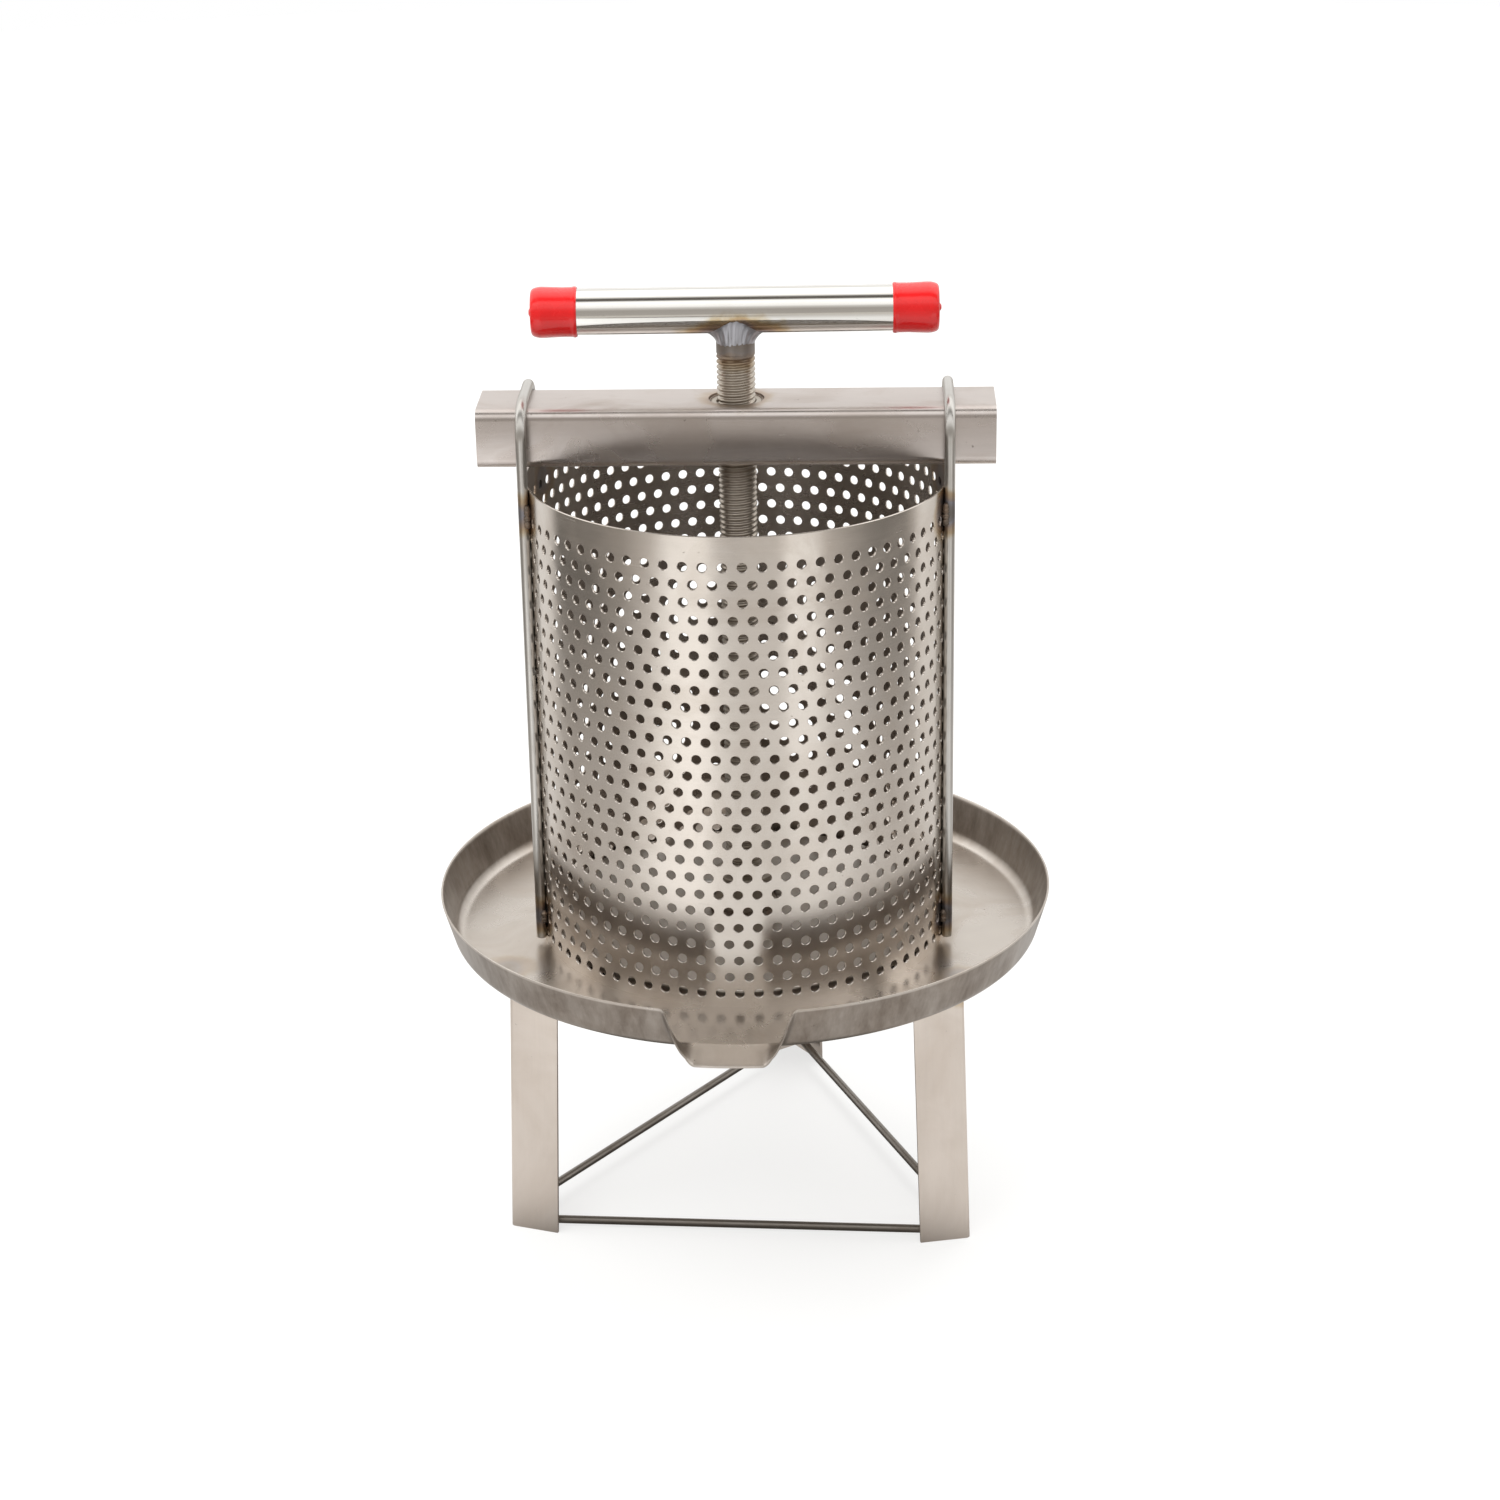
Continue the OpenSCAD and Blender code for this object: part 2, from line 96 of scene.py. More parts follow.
def colour(name, text, default):
    return bpy.props.FloatVectorProperty(
        name=name, description=text, default=default, size=3, min=0, max=1, subtype="COLOR"
    )


def count(name, text, default):
    return bpy.props.IntProperty(name=name, description=text, default=default, min=1)


def number(name, text, default):
    return bpy.props.FloatProperty(name=name, description=text, default=default)


class BasketSettings(bpy.types.PropertyGroup):
    wall: length("Wall", "Thickness of the basket's sheet", 1.0 * MM)
    hole_d: length("Hole", "Diameter of the basket's holes", 4.5 * MM)
    burr: length("Hole edge", "Width of the rounded edge round each hole", 0.22 * MM)
    around: count("Holes round", "Holes in one row", 70)
    rows: count("Rows", "Rows of holes, each shifted half a pitch from the next", 26)
    row_pitch: length("Row pitch", "Height from one row to the next", 8.365 * MM)
    top_row: length("Top row", "Distance of the top row below the rim", 14.53 * MM)
    first_hole: angle("First hole", "Angle from the spout to a hole of the top row", 4.0)


class TraySettings(bpy.types.PropertyGroup):
    sheet: length("Sheet", "Thickness of the tray's sheet", 1.0 * MM)
    flat_r: length("Flat floor", "Radius at which the floor starts to turn up", 137.5 * MM)
    corner_r: length("Corner", "Radius of the corner between floor and wall", 6.5 * MM)
    lean: angle("Lean", "How far the wall leans out", 16.2)
    spout_in: length("Spout channel", "Half width of the spout's level channel", 14.5 * MM)
    spout_out: length("Spout root", "Half width at which the spout leaves the wall", 31.0 * MM)


class LegSettings(bpy.types.PropertyGroup):
    flange: length("Flange", "Width of each flange of the angle", 25.0 * MM)
    wall: length("Wall", "Thickness of the angle", 1.5 * MM)
    bend: length("Bend", "Outer radius of the angle's bend", 2.2 * MM)
    top_r: length("Leg top", "Radius of a front leg's outer corner under the tray", 126 * MM)
    rear_out: length("Rear leg out", "How much further out the rear leg stands", 8 * MM)
    spread: length("Spread", "How much further out each foot stands than the leg's top", 5.0 * MM)
    front: angle("Front legs", "Angle between each front leg and the middle of the front", 60)
    turn: angle("Turn", "How far both front legs are turned to the left", 1.7)
    rear: angle("Rear leg", "Angle of the rear leg round from the spout", 172.5)
    tie_d: length("Tie rod", "Diameter of the tie rods", 4.0 * MM)
    tie_inset: length("Tie inset", "Distance along a flange to a tie rod's end", 9.0 * MM)


class ScrewSettings(bpy.types.PropertyGroup):
    pitch: length("Pitch", "Pitch of the thread", 2.5 * MM)
    depth: length("Depth", "Depth of the thread", 1.15 * MM)
    neck: length("Plain neck", "Plain length under the handle", 9.0 * MM)
    handle_l: length("Handle", "Length of the handle over its caps", 190 * MM)
    cap_l: length("Cap", "Length of each handle cap", 22.5 * MM)
    cap_end: length("Cap end", "Thickness of each cap's closed end", 2.5 * MM)
    handle_turn: angle("Handle turn", "How far the handle stands turned, seen from above", 2.5)


class BeamSettings(bpy.types.PropertyGroup):
    length: length("Length", "Length of the crossbeam", 240 * MM)
    width: length("Width", "Width of the crossbeam", 40 * MM)
    wall: length("Wall", "Wall of the crossbeam", 1.5 * MM)
    corner_r: length("Corner", "Outer corner radius of the crossbeam", 5 * MM)
    turn: angle("Turn", "How far the crossbeam and its loops stand turned, seen from above", 1.3)
    loop_d: length("Loop rod", "Diameter of the loops' rod", 5 * MM)
    loop_w: length("Loop width", "Distance between the two sides of a loop, centre to centre", 57 * MM)
    loop_bend: length("Loop bend", "Centreline radius of the loops' bends", 14.5 * MM)


class FinishSettings(bpy.types.PropertyGroup):
    sheet: colour("Sheet", "Stainless sheet of basket and tray", (0.66, 0.61, 0.56))
    leg: colour("Leg", "Satin angle legs", (0.73, 0.66, 0.60))
    beam: colour("Beam", "Crossbeam", (0.61, 0.56, 0.535))
    rod: colour("Rod", "Drawn rod", (0.58, 0.565, 0.54))
    tie: colour("Tie rod", "Dull rod between the feet", (0.24, 0.22, 0.20))
    tube: colour("Handle", "Polished handle tube", (0.83, 0.82, 0.79))
    screw: colour("Screw", "Turned screw", (0.50, 0.45, 0.39))
    weld: colour("Weld", "Weld metal", (0.20, 0.16, 0.13))
    vinyl: colour("Vinyl", "Handle caps", (0.83, 0.012, 0.014))


class StageSettings(bpy.types.PropertyGroup):
    eye: bpy.props.FloatVectorProperty(
        name="Eye",
        description="Where the camera stands",
        default=(0.0881, -1.4887, 0.8312),
        subtype="XYZ",
        unit="LENGTH",
    )
    heading: angle("Heading", "Camera's turn to the left of straight back", 3.252)
    pitch: angle("Pitch", "How far the camera looks down", 21.993)
    roll: angle("Roll", "Camera's roll", -0.98)
    lens: number("Lens", "Focal length in millimetres", 79.67)
    floor_r: length("Floor", "Radius of the pale floor", 3.6)


class PressSettings(bpy.types.PropertyGroup):
    basket: bpy.props.PointerProperty(type=BasketSettings)
    tray: bpy.props.PointerProperty(type=TraySettings)
    leg: bpy.props.PointerProperty(type=LegSettings)
    screw: bpy.props.PointerProperty(type=ScrewSettings)
    beam: bpy.props.PointerProperty(type=BeamSettings)
    finish: bpy.props.PointerProperty(type=FinishSettings)
    stage: bpy.props.PointerProperty(type=StageSettings)


# ---------- surfaces ----------


def cylinder_points(turn, z, r):
    """Points at angle turn from the spout, height z and radius r: (r sin, -r cos, z)."""
    turn, z, r = np.broadcast_arrays(turn, z, r)
    return np.stack([r * np.sin(turn), -r * np.cos(turn), z], -1)


def whole_turn(sides):
    return np.arange(sides) * (2 * math.pi / sides)


def strip(low, high):
    """Quads between two rings of vertex numbers, each ring meeting its own start."""
    return np.stack([low, np.roll(low, -1), np.roll(high, -1), high], -1)


def outward(points, faces):
    """Turns every face round if the closed shape's signed volume, the sum of a.(b x c)/6, is negative."""
    total = 0.0
    for corners in (faces[:, [0, 1, 2]], faces[:, [0, 2, 3]]):
        a, b, c = (points[corners[:, k]] for k in range(3))
        total += np.einsum("ij,ij->", a, np.cross(b, c))
    return faces if total > 0 else faces[:, ::-1]


def skin(rings, start=None, end=None):
    """Closed surface through rings[i, j], point j of ring i. Poles start and end close it, and without
    them the last ring meets the first."""
    rows, sides = rings.shape[:2]
    points = rings.reshape(-1, 3)
    number = np.arange(rows * sides).reshape(rows, sides)
    faces = [strip(number[i], number[i + 1]) for i in range(rows - 1)]
    if start is None:
        faces.append(strip(number[-1], number[0]))
    else:
        points = np.vstack([points, start, end])
        pole = np.full(sides, rows * sides)
        # a pole's quad names its pole twice, and the mesh maker makes it a triangle
        faces.append(np.stack([pole, pole, np.roll(number[0], -1), number[0]], -1))
        faces.append(np.stack([number[-1], np.roll(number[-1], -1), pole + 1, pole + 1], -1))
    faces = np.vstack(faces)
    return points, outward(points, faces)


def lathe(profile, sides=96, axis="z", centre=(0, 0, 0)):
    """Profile of (radius, height) carried round an axis. A profile that starts and ends at radius 0 closes
    at poles, and any other closes on itself."""
    profile = np.asarray(profile, float)
    poles = profile[0, 0] == 0 and profile[-1, 0] == 0
    inner = profile[1:-1] if poles else profile
    rings = cylinder_points(whole_turn(sides)[None, :], inner[:, 1, None], inner[:, 0, None])
    ends = [np.array([0, 0, profile[k, 1]]) for k in (0, -1)] if poles else [None, None]
    turn = {"z": [0, 1, 2], "x": [2, 0, 1]}[axis]
    points, faces = skin(rings, *ends)
    return points[:, turn] + np.asarray(centre), faces


def rounded(corners, radius, steps=4):
    """Profile through corners with each inner corner cut to an arc: quadratic curves from a point before the
    corner to one after it."""
    corners = np.asarray(corners, float)
    made = [corners[:1]]
    s = np.linspace(0, 1, steps + 1)[:, None]
    for before, here, after in zip(corners[:-2], corners[1:-1], corners[2:]):
        back, on = before - here, after - here
        reach = min(radius, 0.45 * np.linalg.norm(back), 0.45 * np.linalg.norm(on))
        a = here + back / np.linalg.norm(back) * reach
        b = here + on / np.linalg.norm(on) * reach
        made.append((1 - s) ** 2 * a + 2 * s * (1 - s) * here + s**2 * b)
    made.append(corners[-1:])
    return np.vstack(made)


def path_frames(path):
    """Tangents of a path by central differences, and two normals: one as level as can be, one across both."""
    tangent = np.gradient(path, axis=0)
    tangent /= np.linalg.norm(tangent, axis=1)[:, None]
    up = np.array([1.0, 0, 0]) if abs(tangent[:, 0]).max() < 0.8 else np.array([0, 0, 1.0])
    side = np.cross(tangent, up)
    side /= np.linalg.norm(side, axis=1)[:, None]
    return tangent, side, np.cross(side, tangent)


def rod(path, radius, sides=24, edge=0.3 * MM):
    """Round rod: a circle carried along the path, with its two cut ends broken by a small edge."""
    path = np.asarray(path, float)
    tangent, side, across = path_frames(path)
    first, last = path[:1], path[-1:]
    path = np.vstack([first, first + tangent[:1] * edge, path[1:-1], last - tangent[-1:] * edge, last])
    side, across = (np.vstack([v[:1], v[:1], v[1:-1], v[-1:], v[-1:]]) for v in (side, across))
    r = np.full(len(path), radius)
    r[[0, -1]] = radius - edge
    turn = whole_turn(sides)[None, :, None]
    rings = path[:, None] + r[:, None, None] * (np.cos(turn) * side[:, None] + np.sin(turn) * across[:, None])
    return skin(rings, path[0], path[-1])


def weld_run(path, radius, ripple=1.3 * MM, lift=0.12, sides=14, seed=0.0):
    """Weld bead: a circle carried along the path whose radius swells as |sin| of the distance gone, one swell
    a ripple, wanders a little, and closes in a quarter ellipse at both ends."""
    path = np.asarray(path, float)
    gone = np.concatenate([[0], np.cumsum(np.linalg.norm(np.diff(path, axis=0), axis=1))])
    steps = max(10, int(gone[-1] / ripple * 6))
    at = np.linspace(0, gone[-1], steps)
    line = np.stack([np.interp(at, gone, path[:, k]) for k in range(3)], -1)
    _, side, across = path_frames(line)
    swell = 1 - lift + lift * np.abs(np.sin(math.pi * at / ripple + seed))
    wander = 1 + 0.10 * np.sin(at * 1900 + 7 * seed) + 0.06 * np.sin(at * 4300 + 3 * seed)
    near = np.minimum(at, gone[-1] - at) / radius
    close = np.sqrt(np.clip(1 - np.clip(1 - near, 0, 1) ** 2, 0.02, 1))
    turn = whole_turn(sides)[None, :, None]
    r = (radius * swell * wander * close)[:, None, None]
    rings = line[:, None] + r * (np.cos(turn) * side[:, None] + np.sin(turn) * across[:, None])
    return skin(rings, line[0], line[-1])


def weld_ring(centre_r, z, radius, ripple=1.5 * MM, sides=12, flat=1.0):
    """Round weld bead about the screw's axis: a small circle carried round, rippled as weld_run is."""
    steps = int(2 * math.pi * centre_r / ripple * 6)
    turn = whole_turn(steps)[:, None]
    swells = round(2 * math.pi * centre_r / ripple)
    r = radius * (0.88 + 0.12 * np.abs(np.sin(turn * swells / 2)) + 0.05 * np.sin(5 * turn))
    small = whole_turn(sides)[None, :]
    return skin(cylinder_points(turn, z + flat * r * np.sin(small), centre_r + r * np.cos(small)))


def sheet(middle, centre, thick):
    """Sheet metal of one thickness round a middle surface middle[i, j], i outwards from the centre and j
    round: both sides lie half a thickness along the normal, the cross product of the surface's two
    gradients, and the outer edge is a half circle."""
    along = np.gradient(middle, axis=0)
    round_it = np.roll(middle, -1, axis=1) - np.roll(middle, 1, axis=1)
    normal = np.cross(round_it, along)
    normal /= np.linalg.norm(normal, axis=2)[:, :, None]
    normal *= np.sign(normal[0, 0, 2])
    half = thick / 2
    edge_out = along[-1] / np.linalg.norm(along[-1], axis=1)[:, None]
    lap = np.radians([30, 60, 90, 120, 150])[:, None, None]
    edge = middle[-1] + half * (np.cos(lap) * normal[-1] + np.sin(lap) * edge_out)
    rings = np.concatenate([middle + half * normal, edge, (middle - half * normal)[::-1]])
    up = np.array([0, 0, half])
    return skin(rings, np.asarray(centre) + up, np.asarray(centre) - up)


def prism(outer, inner, rings_at):
    """Bent strip with a constant section: outer[k] and inner[k] are the section's two sides, and rings_at
    places the section, one ring of points for each height. The two ends are strips across the section."""
    section = np.vstack([outer, inner[::-1]])
    rings = rings_at(section)
    rows, n = rings.shape[:2]
    half = len(outer)
    number = np.arange(rows * n).reshape(rows, n)
    faces = [strip(number[i], number[i + 1]) for i in range(rows - 1)]
    for row, order in ((0, 1), (rows - 1, -1)):
        a, b = number[row, :half], number[row, half:][::-1]
        cap = np.stack([a[:-1], b[:-1], b[1:], a[1:]], -1)
        faces.append(cap[:, ::order])
    points = rings.reshape(-1, 3)
    faces = np.vstack(faces)
    return points, outward(points, faces)


def make_piece(name, shapes, body, nodes, material, sharp=SHARP):
    """Joins closed shapes into one mesh that rides on a body and stands for CAD nodes."""
    start, points, faces = 0, [], []
    for shape_points, shape_faces in shapes:
        points.append(shape_points)
        faces.append(shape_faces + start)
        start += len(shape_points)
    faces = np.vstack(faces)
    repeated = faces == np.roll(faces, -1, axis=1)
    whole = faces[~repeated.any(axis=1)]
    at_pole = faces[repeated.any(axis=1)]
    kept = ~repeated[repeated.any(axis=1)]
    mesh = bpy.data.meshes.new(name)
    mesh.from_pydata(np.vstack(points).tolist(), [], whole.tolist() + at_pole[kept].reshape(-1, 3).tolist())
    mesh.shade_smooth()
    mesh.set_sharp_from_angle(angle=sharp)
    mesh.materials.append(material)
    piece = bpy.data.objects.new(name, mesh)
    bpy.context.scene.collection.objects.link(piece)
    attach(piece, body)
    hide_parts(*nodes)
    return piece


# ---------- nodes and materials ----------


class Tree:
    """Short hand for a node tree: each call adds one node and returns its output."""

    def __init__(self, tree):
        self.tree = tree

    def put(self, socket, value):
        if isinstance(value, bpy.types.NodeSocket):
            self.tree.links.new(value, socket)
        else:
            socket.default_value = value

    def node(self, kind, inputs=None, **settings):
        made = self.tree.nodes.new("ShaderNode" + kind)
        for key, value in settings.items():
            setattr(made, key, value)
        for key, value in (inputs or {}).items():
            self.put(made.inputs[key], value)
        return made

    def math(self, operation, a, b=0.0, clamp=False):
        return self.node("Math", {0: a, 1: b}, operation=operation, use_clamp=clamp).outputs[0]

    def vector(self, operation, a, b=(0, 0, 0)):
        made = self.node("VectorMath", {0: a, 1: b}, operation=operation)
        return made.outputs["Value" if operation in ("DISTANCE", "LENGTH") else "Vector"]

    def noise(self, vector, scale, detail=3.0, rough=0.5, bend=0.0):
        inputs = {"Vector": vector, "Scale": scale, "Detail": detail, "Roughness": rough, "Distortion": bend}
        return self.node("TexNoise", inputs).outputs["Fac"]

    def remap(self, value, low, high, to_low=0.0, to_high=1.0):
        inputs = {"Value": value, "From Min": low, "From Max": high, "To Min": to_low, "To Max": to_high}
        return self.node("MapRange", inputs).outputs["Result"]

    def ramp(self, factor, stops):
        made = self.node("ValToRGB", {0: factor})
        line = made.color_ramp.elements
        while len(line) < len(stops):
            line.new(0.5)
        for element, (place, value) in zip(line, stops):
            element.position = place
            element.color = (*value, 1) if isinstance(value, tuple) else (value, value, value, 1)
        return made.outputs["Color"]

    def mix(self, factor, a, b, how="MIX"):
        made = self.node("Mix", data_type="RGBA", blend_type=how, clamp_factor=True)
        for place, value in ((0, factor), (6, a), (7, b)):
            if isinstance(value, tuple) and len(value) == 3:
                value = (*value, 1)
            self.put(made.inputs[place], value)
        return made.outputs[2]


def group(name, inputs, outputs, build):
    """Shader node group with named sockets. Each input is (name, kind, default), each output (name, kind)."""
    tree = bpy.data.node_groups.new(name, "ShaderNodeTree")
    for title, kind, default in inputs:
        socket = tree.interface.new_socket(title, in_out="INPUT", socket_type="NodeSocket" + kind)
        if default is not None:
            socket.default_value = default
    for title, kind in outputs:
        tree.interface.new_socket(title, in_out="OUTPUT", socket_type="NodeSocket" + kind)
    source = tree.nodes.new("NodeGroupInput").outputs
    sink = tree.nodes.new("NodeGroupOutput").inputs
    short = Tree(tree)
    for title, value in build(short, source).items():
        short.put(sink[title], value)
    return tree


def grain_group():
    """Brushed grain: fine noise stretched along the brushing, cloudy polish marks, and rare scratches."""

    def build(t, given):
        stretched = t.vector("MULTIPLY", given["Place"], given["Stretch"])
        fine = t.noise(stretched, 1.0, 4.0, 0.65)
        coarse = t.noise(stretched, 0.23, 2.0, 0.5)
        streak = t.math("ADD", t.math("MULTIPLY", fine, 0.6), t.math("MULTIPLY", coarse, 0.4))
        cloud = t.noise(given["Place"], 34.0, 4.0, 0.6, 0.6)
        wander = t.vector("ADD", stretched, t.vector("MULTIPLY", given["Place"], (55, 55, 55)))
        scratch = t.remap(t.noise(wander, 0.55, 2.0, 0.5, 0.3), 0.68, 0.76)
        return {"Streak": streak, "Cloud": cloud, "Scratch": scratch}

    inputs = [("Place", "Vector", None), ("Stretch", "Vector", (40, 40, 1200))]
    outputs = [("Streak", "Float"), ("Cloud", "Float"), ("Scratch", "Float")]
    return group("Brushed grain", inputs, outputs, build)


def tint_group():
    """Heat tint: from scale at the weld through blue and brown to straw, as the distance from it grows."""

    def build(t, given):
        uneven = t.remap(t.noise(given["Place"], 120.0, 2.0, 0.5), 0.25, 0.75, -0.12, 0.12)
        far = t.math("DIVIDE", given["Distance"], given["Reach"])
        far = t.math("ADD", far, uneven, clamp=True)
        stops = [
            (0.0, (0.10, 0.08, 0.07)),
            (0.22, (0.17, 0.15, 0.17)),
            (0.36, (0.26, 0.27, 0.36)),
            (0.50, (0.36, 0.25, 0.20)),
            (0.68, (0.62, 0.43, 0.22)),
            (0.84, (0.80, 0.68, 0.46)),
            (1.0, (1.0, 1.0, 1.0)),
        ]
        tint = t.ramp(far, stops)
        near = t.math("SUBTRACT", 1.0, far, clamp=True)
        share = t.math("MULTIPLY", given["Strength"], t.remap(near, 0.0, 0.25), clamp=True)
        tinted = t.mix(1.0, given["Color"], tint, "MULTIPLY")
        return {"Color": t.mix(share, given["Color"], tinted), "Mask": near}

    inputs = [
        ("Place", "Vector", None),
        ("Color", "Color", (0.6, 0.6, 0.6, 1)),
        ("Distance", "Float", 1.0),
        ("Reach", "Float", 0.02),
        ("Strength", "Float", 1.0),
    ]
    return group("Heat tint", inputs, [("Color", "Color"), ("Mask", "Float")], build)


def handling_group():
    """Signs of handling: a warm dull film in patches, small dark specks, and roughness to match."""

    def build(t, given):
        patch = t.remap(t.noise(given["Place"], 19.0, 5.0, 0.62, 1.2), 0.45, 0.75)
        speck = t.remap(t.noise(given["Place"], 420.0, 2.0, 0.5), 0.74, 0.82)
        film = t.math("MULTIPLY", patch, given["Amount"], clamp=True)
        duller = t.mix(film, given["Color"], t.mix(1.0, given["Color"], (0.80, 0.75, 0.70), "MULTIPLY"))
        spotted = t.mix(t.math("MULTIPLY", speck, given["Amount"], clamp=True), duller, (0.16, 0.13, 0.11))
        return {"Color": spotted, "Rough": t.math("MULTIPLY", film, 0.16)}

    inputs = [("Place", "Vector", None), ("Color", "Color", (0.6, 0.6, 0.6, 1)), ("Amount", "Float", 0.5)]
    return group("Handling", inputs, [("Color", "Color"), ("Rough", "Float")], build)


class Finishes:
    """The press's materials, each made once from the settings' colours."""

    def __init__(self, settings):
        self.settings = settings
        self.groups = {"grain": grain_group(), "tint": tint_group(), "handling": handling_group()}
        self.made = {}

    def start(self, name):
        material = bpy.data.materials.new(name)
        material.use_nodes = True
        t = Tree(material.node_tree)
        surface = material.node_tree.nodes["Principled BSDF"]
        place = t.node("TexCoord").outputs["Object"]
        return material, t, surface, place

    def use(self, t, which, inputs):
        made = t.node("Group")
        made.node_tree = self.groups[which]
        for key, value in inputs.items():
            if isinstance(value, tuple) and len(value) == 3 and key == "Color":
                value = (*value, 1)
            t.put(made.inputs[key], value)
        return made.outputs

    def steel(
        self,
        name,
        base,
        rough,
        stretch,
        depth=0.04,
        amount=0.5,
        heat=None,
        contrast=0.10,
        anisotropy_turn=None,
        extra=None,
    ):
        """Brushed or polished steel. stretch is the grain's fineness along x, y and z, depth the strength of
        its bump, contrast that of its colour, and amount that of the handling marks. heat is (function giving
        the distance from the welds, reach, strength), and extra changes the colour and roughness further."""
        if name in self.made:
            return self.made[name]
        material, t, surface, place = self.start(name)
        grain = self.use(t, "grain", {"Place": place, "Stretch": stretch})
        darker = tuple(c * (1 - contrast) for c in base)
        lighter = tuple(c * (1 + contrast) for c in base)
        light = t.mix(grain["Streak"], darker, lighter)
        light = t.mix(t.math("MULTIPLY", grain["Cloud"], 0.35), light, tuple(c * 0.82 for c in base))
        handled = self.use(t, "handling", {"Place": place, "Color": light, "Amount": amount})
        shade, roughness = handled["Color"], t.math("ADD", handled["Rough"], rough - 0.06)
        if heat:
            distance, reach, strength = heat
            inputs = {"Place": place, "Color": shade, "Distance": distance(t, place)}
            inputs |= {"Reach": reach, "Strength": strength}
            tinted = self.use(t, "tint", inputs)
            shade = tinted["Color"]
            roughness = t.math("ADD", roughness, t.math("MULTIPLY", tinted["Mask"], 0.18))
        if extra:
            shade, roughness = extra(t, place, shade, roughness)
        roughness = t.math("ADD", roughness, t.math("MULTIPLY", grain["Cloud"], 0.10))
        roughness = t.math("ADD", roughness, t.math("MULTIPLY", grain["Streak"], 0.05), clamp=True)
        roughness = t.math("ADD", roughness, t.math("MULTIPLY", grain["Scratch"], 0.05), clamp=True)
        bump = t.node("Bump", {"Height": grain["Streak"], "Strength": depth, "Distance": 0.2 * MM})
        t.put(surface.inputs["Base Color"], shade)
        t.put(surface.inputs["Roughness"], roughness)
        t.put(surface.inputs["Normal"], bump.outputs["Normal"])
        surface.inputs["Metallic"].default_value = 1.0
        if anisotropy_turn is not None:
            surface.inputs["Anisotropic"].default_value = 0.65
            surface.inputs["Anisotropic Rotation"].default_value = anisotropy_turn
        self.made[name] = material
        return material

    def plate(self):
        """Cut plate, brushed along one side."""
        base = tuple(self.settings.sheet)
        return self.steel("plate", base, rough=0.30, stretch=(900, 30, 30), depth=0.06, amount=0.7)

    def machined(self):
        """Lathe-turned steel of the nut and the socket."""
        base = tuple(self.settings.screw)
        return self.steel("nut", base, rough=0.34, stretch=(200, 200, 900), depth=0.08, amount=0.8)

    def weld(self):
        """Weld metal: dark scale with brown and blue patches over bright ripples."""
        if "weld metal" in self.made:
            return self.made["weld metal"]
        material, t, surface, place = self.start("weld metal")
        patch = t.noise(place, 210.0, 4.0, 0.65, 0.8)
        base = tuple(self.settings.weld)
        scale, brown, blue = tuple(c * 0.45 for c in base), (0.24, 0.17, 0.12), (0.34, 0.33, 0.37)
        stops = [(0.30, scale), (0.5, base), (0.62, brown), (0.78, blue)]
        shade = t.ramp(patch, stops)
        height = t.noise(place, 900.0, 3.0, 0.6)
        bump = t.node("Bump", {"Height": height, "Strength": 0.35, "Distance": 0.3 * MM})
        t.put(surface.inputs["Base Color"], shade)
        t.put(surface.inputs["Roughness"], t.remap(patch, 0.3, 0.7, 0.55, 0.32))
        t.put(surface.inputs["Normal"], bump.outputs["Normal"])
        surface.inputs["Metallic"].default_value = 0.9
        self.made["weld metal"] = material
        return material

    def vinyl(self):
        """Dipped vinyl: saturated gloss over a slight orange peel, duller where it has been gripped."""
        if "dipped vinyl" in self.made:
            return self.made["dipped vinyl"]
        material, t, surface, place = self.start("dipped vinyl")
        base = tuple(self.settings.vinyl)
        cloud = t.noise(place, 70.0, 4.0, 0.6, 0.5)
        peel = t.noise(place, 520.0, 2.0, 0.5)
        sag = t.noise(place, 95.0, 1.0, 0.4)
        shade = t.mix(cloud, tuple(c * 0.70 for c in base), base)
        height = t.math("ADD", t.math("MULTIPLY", peel, 0.10), sag)
        bump = t.node("Bump", {"Height": height, "Strength": 0.30, "Distance": 0.8 * MM})
        t.put(surface.inputs["Base Color"], shade)
        t.put(surface.inputs["Roughness"], t.remap(cloud, 0.3, 0.7, 0.22, 0.36))
        t.put(surface.inputs["Normal"], bump.outputs["Normal"])
        surface.inputs["Specular IOR Level"].default_value = 0.16
        surface.inputs["Coat Weight"].default_value = 0.75
        surface.inputs["Coat Roughness"].default_value = 0.06
        self.made["dipped vinyl"] = material
        return material


def near_points(*spots, folded=True):
    """Distance function to the nearest of a few points. When folded, the absolute x, y and z are taken, so
    that a point in one quarter of the press counts in all four."""

    def build(t, place):
        start = t.vector("ABSOLUTE", place) if folded else place
        found = None
        for spot in spots:
            far = t.vector("DISTANCE", start, tuple(spot))
            found = far if found is None else t.math("MINIMUM", found, far)
        return found

    return build


def near_level(height):
    """Distance function to a level plane."""

    def build(t, place):
        z = t.node("SeparateXYZ", {0: place}).outputs["Z"]
        return t.math("ABSOLUTE", t.math("SUBTRACT", z, height))

    return build


# ---------- the press's own sizes ----------


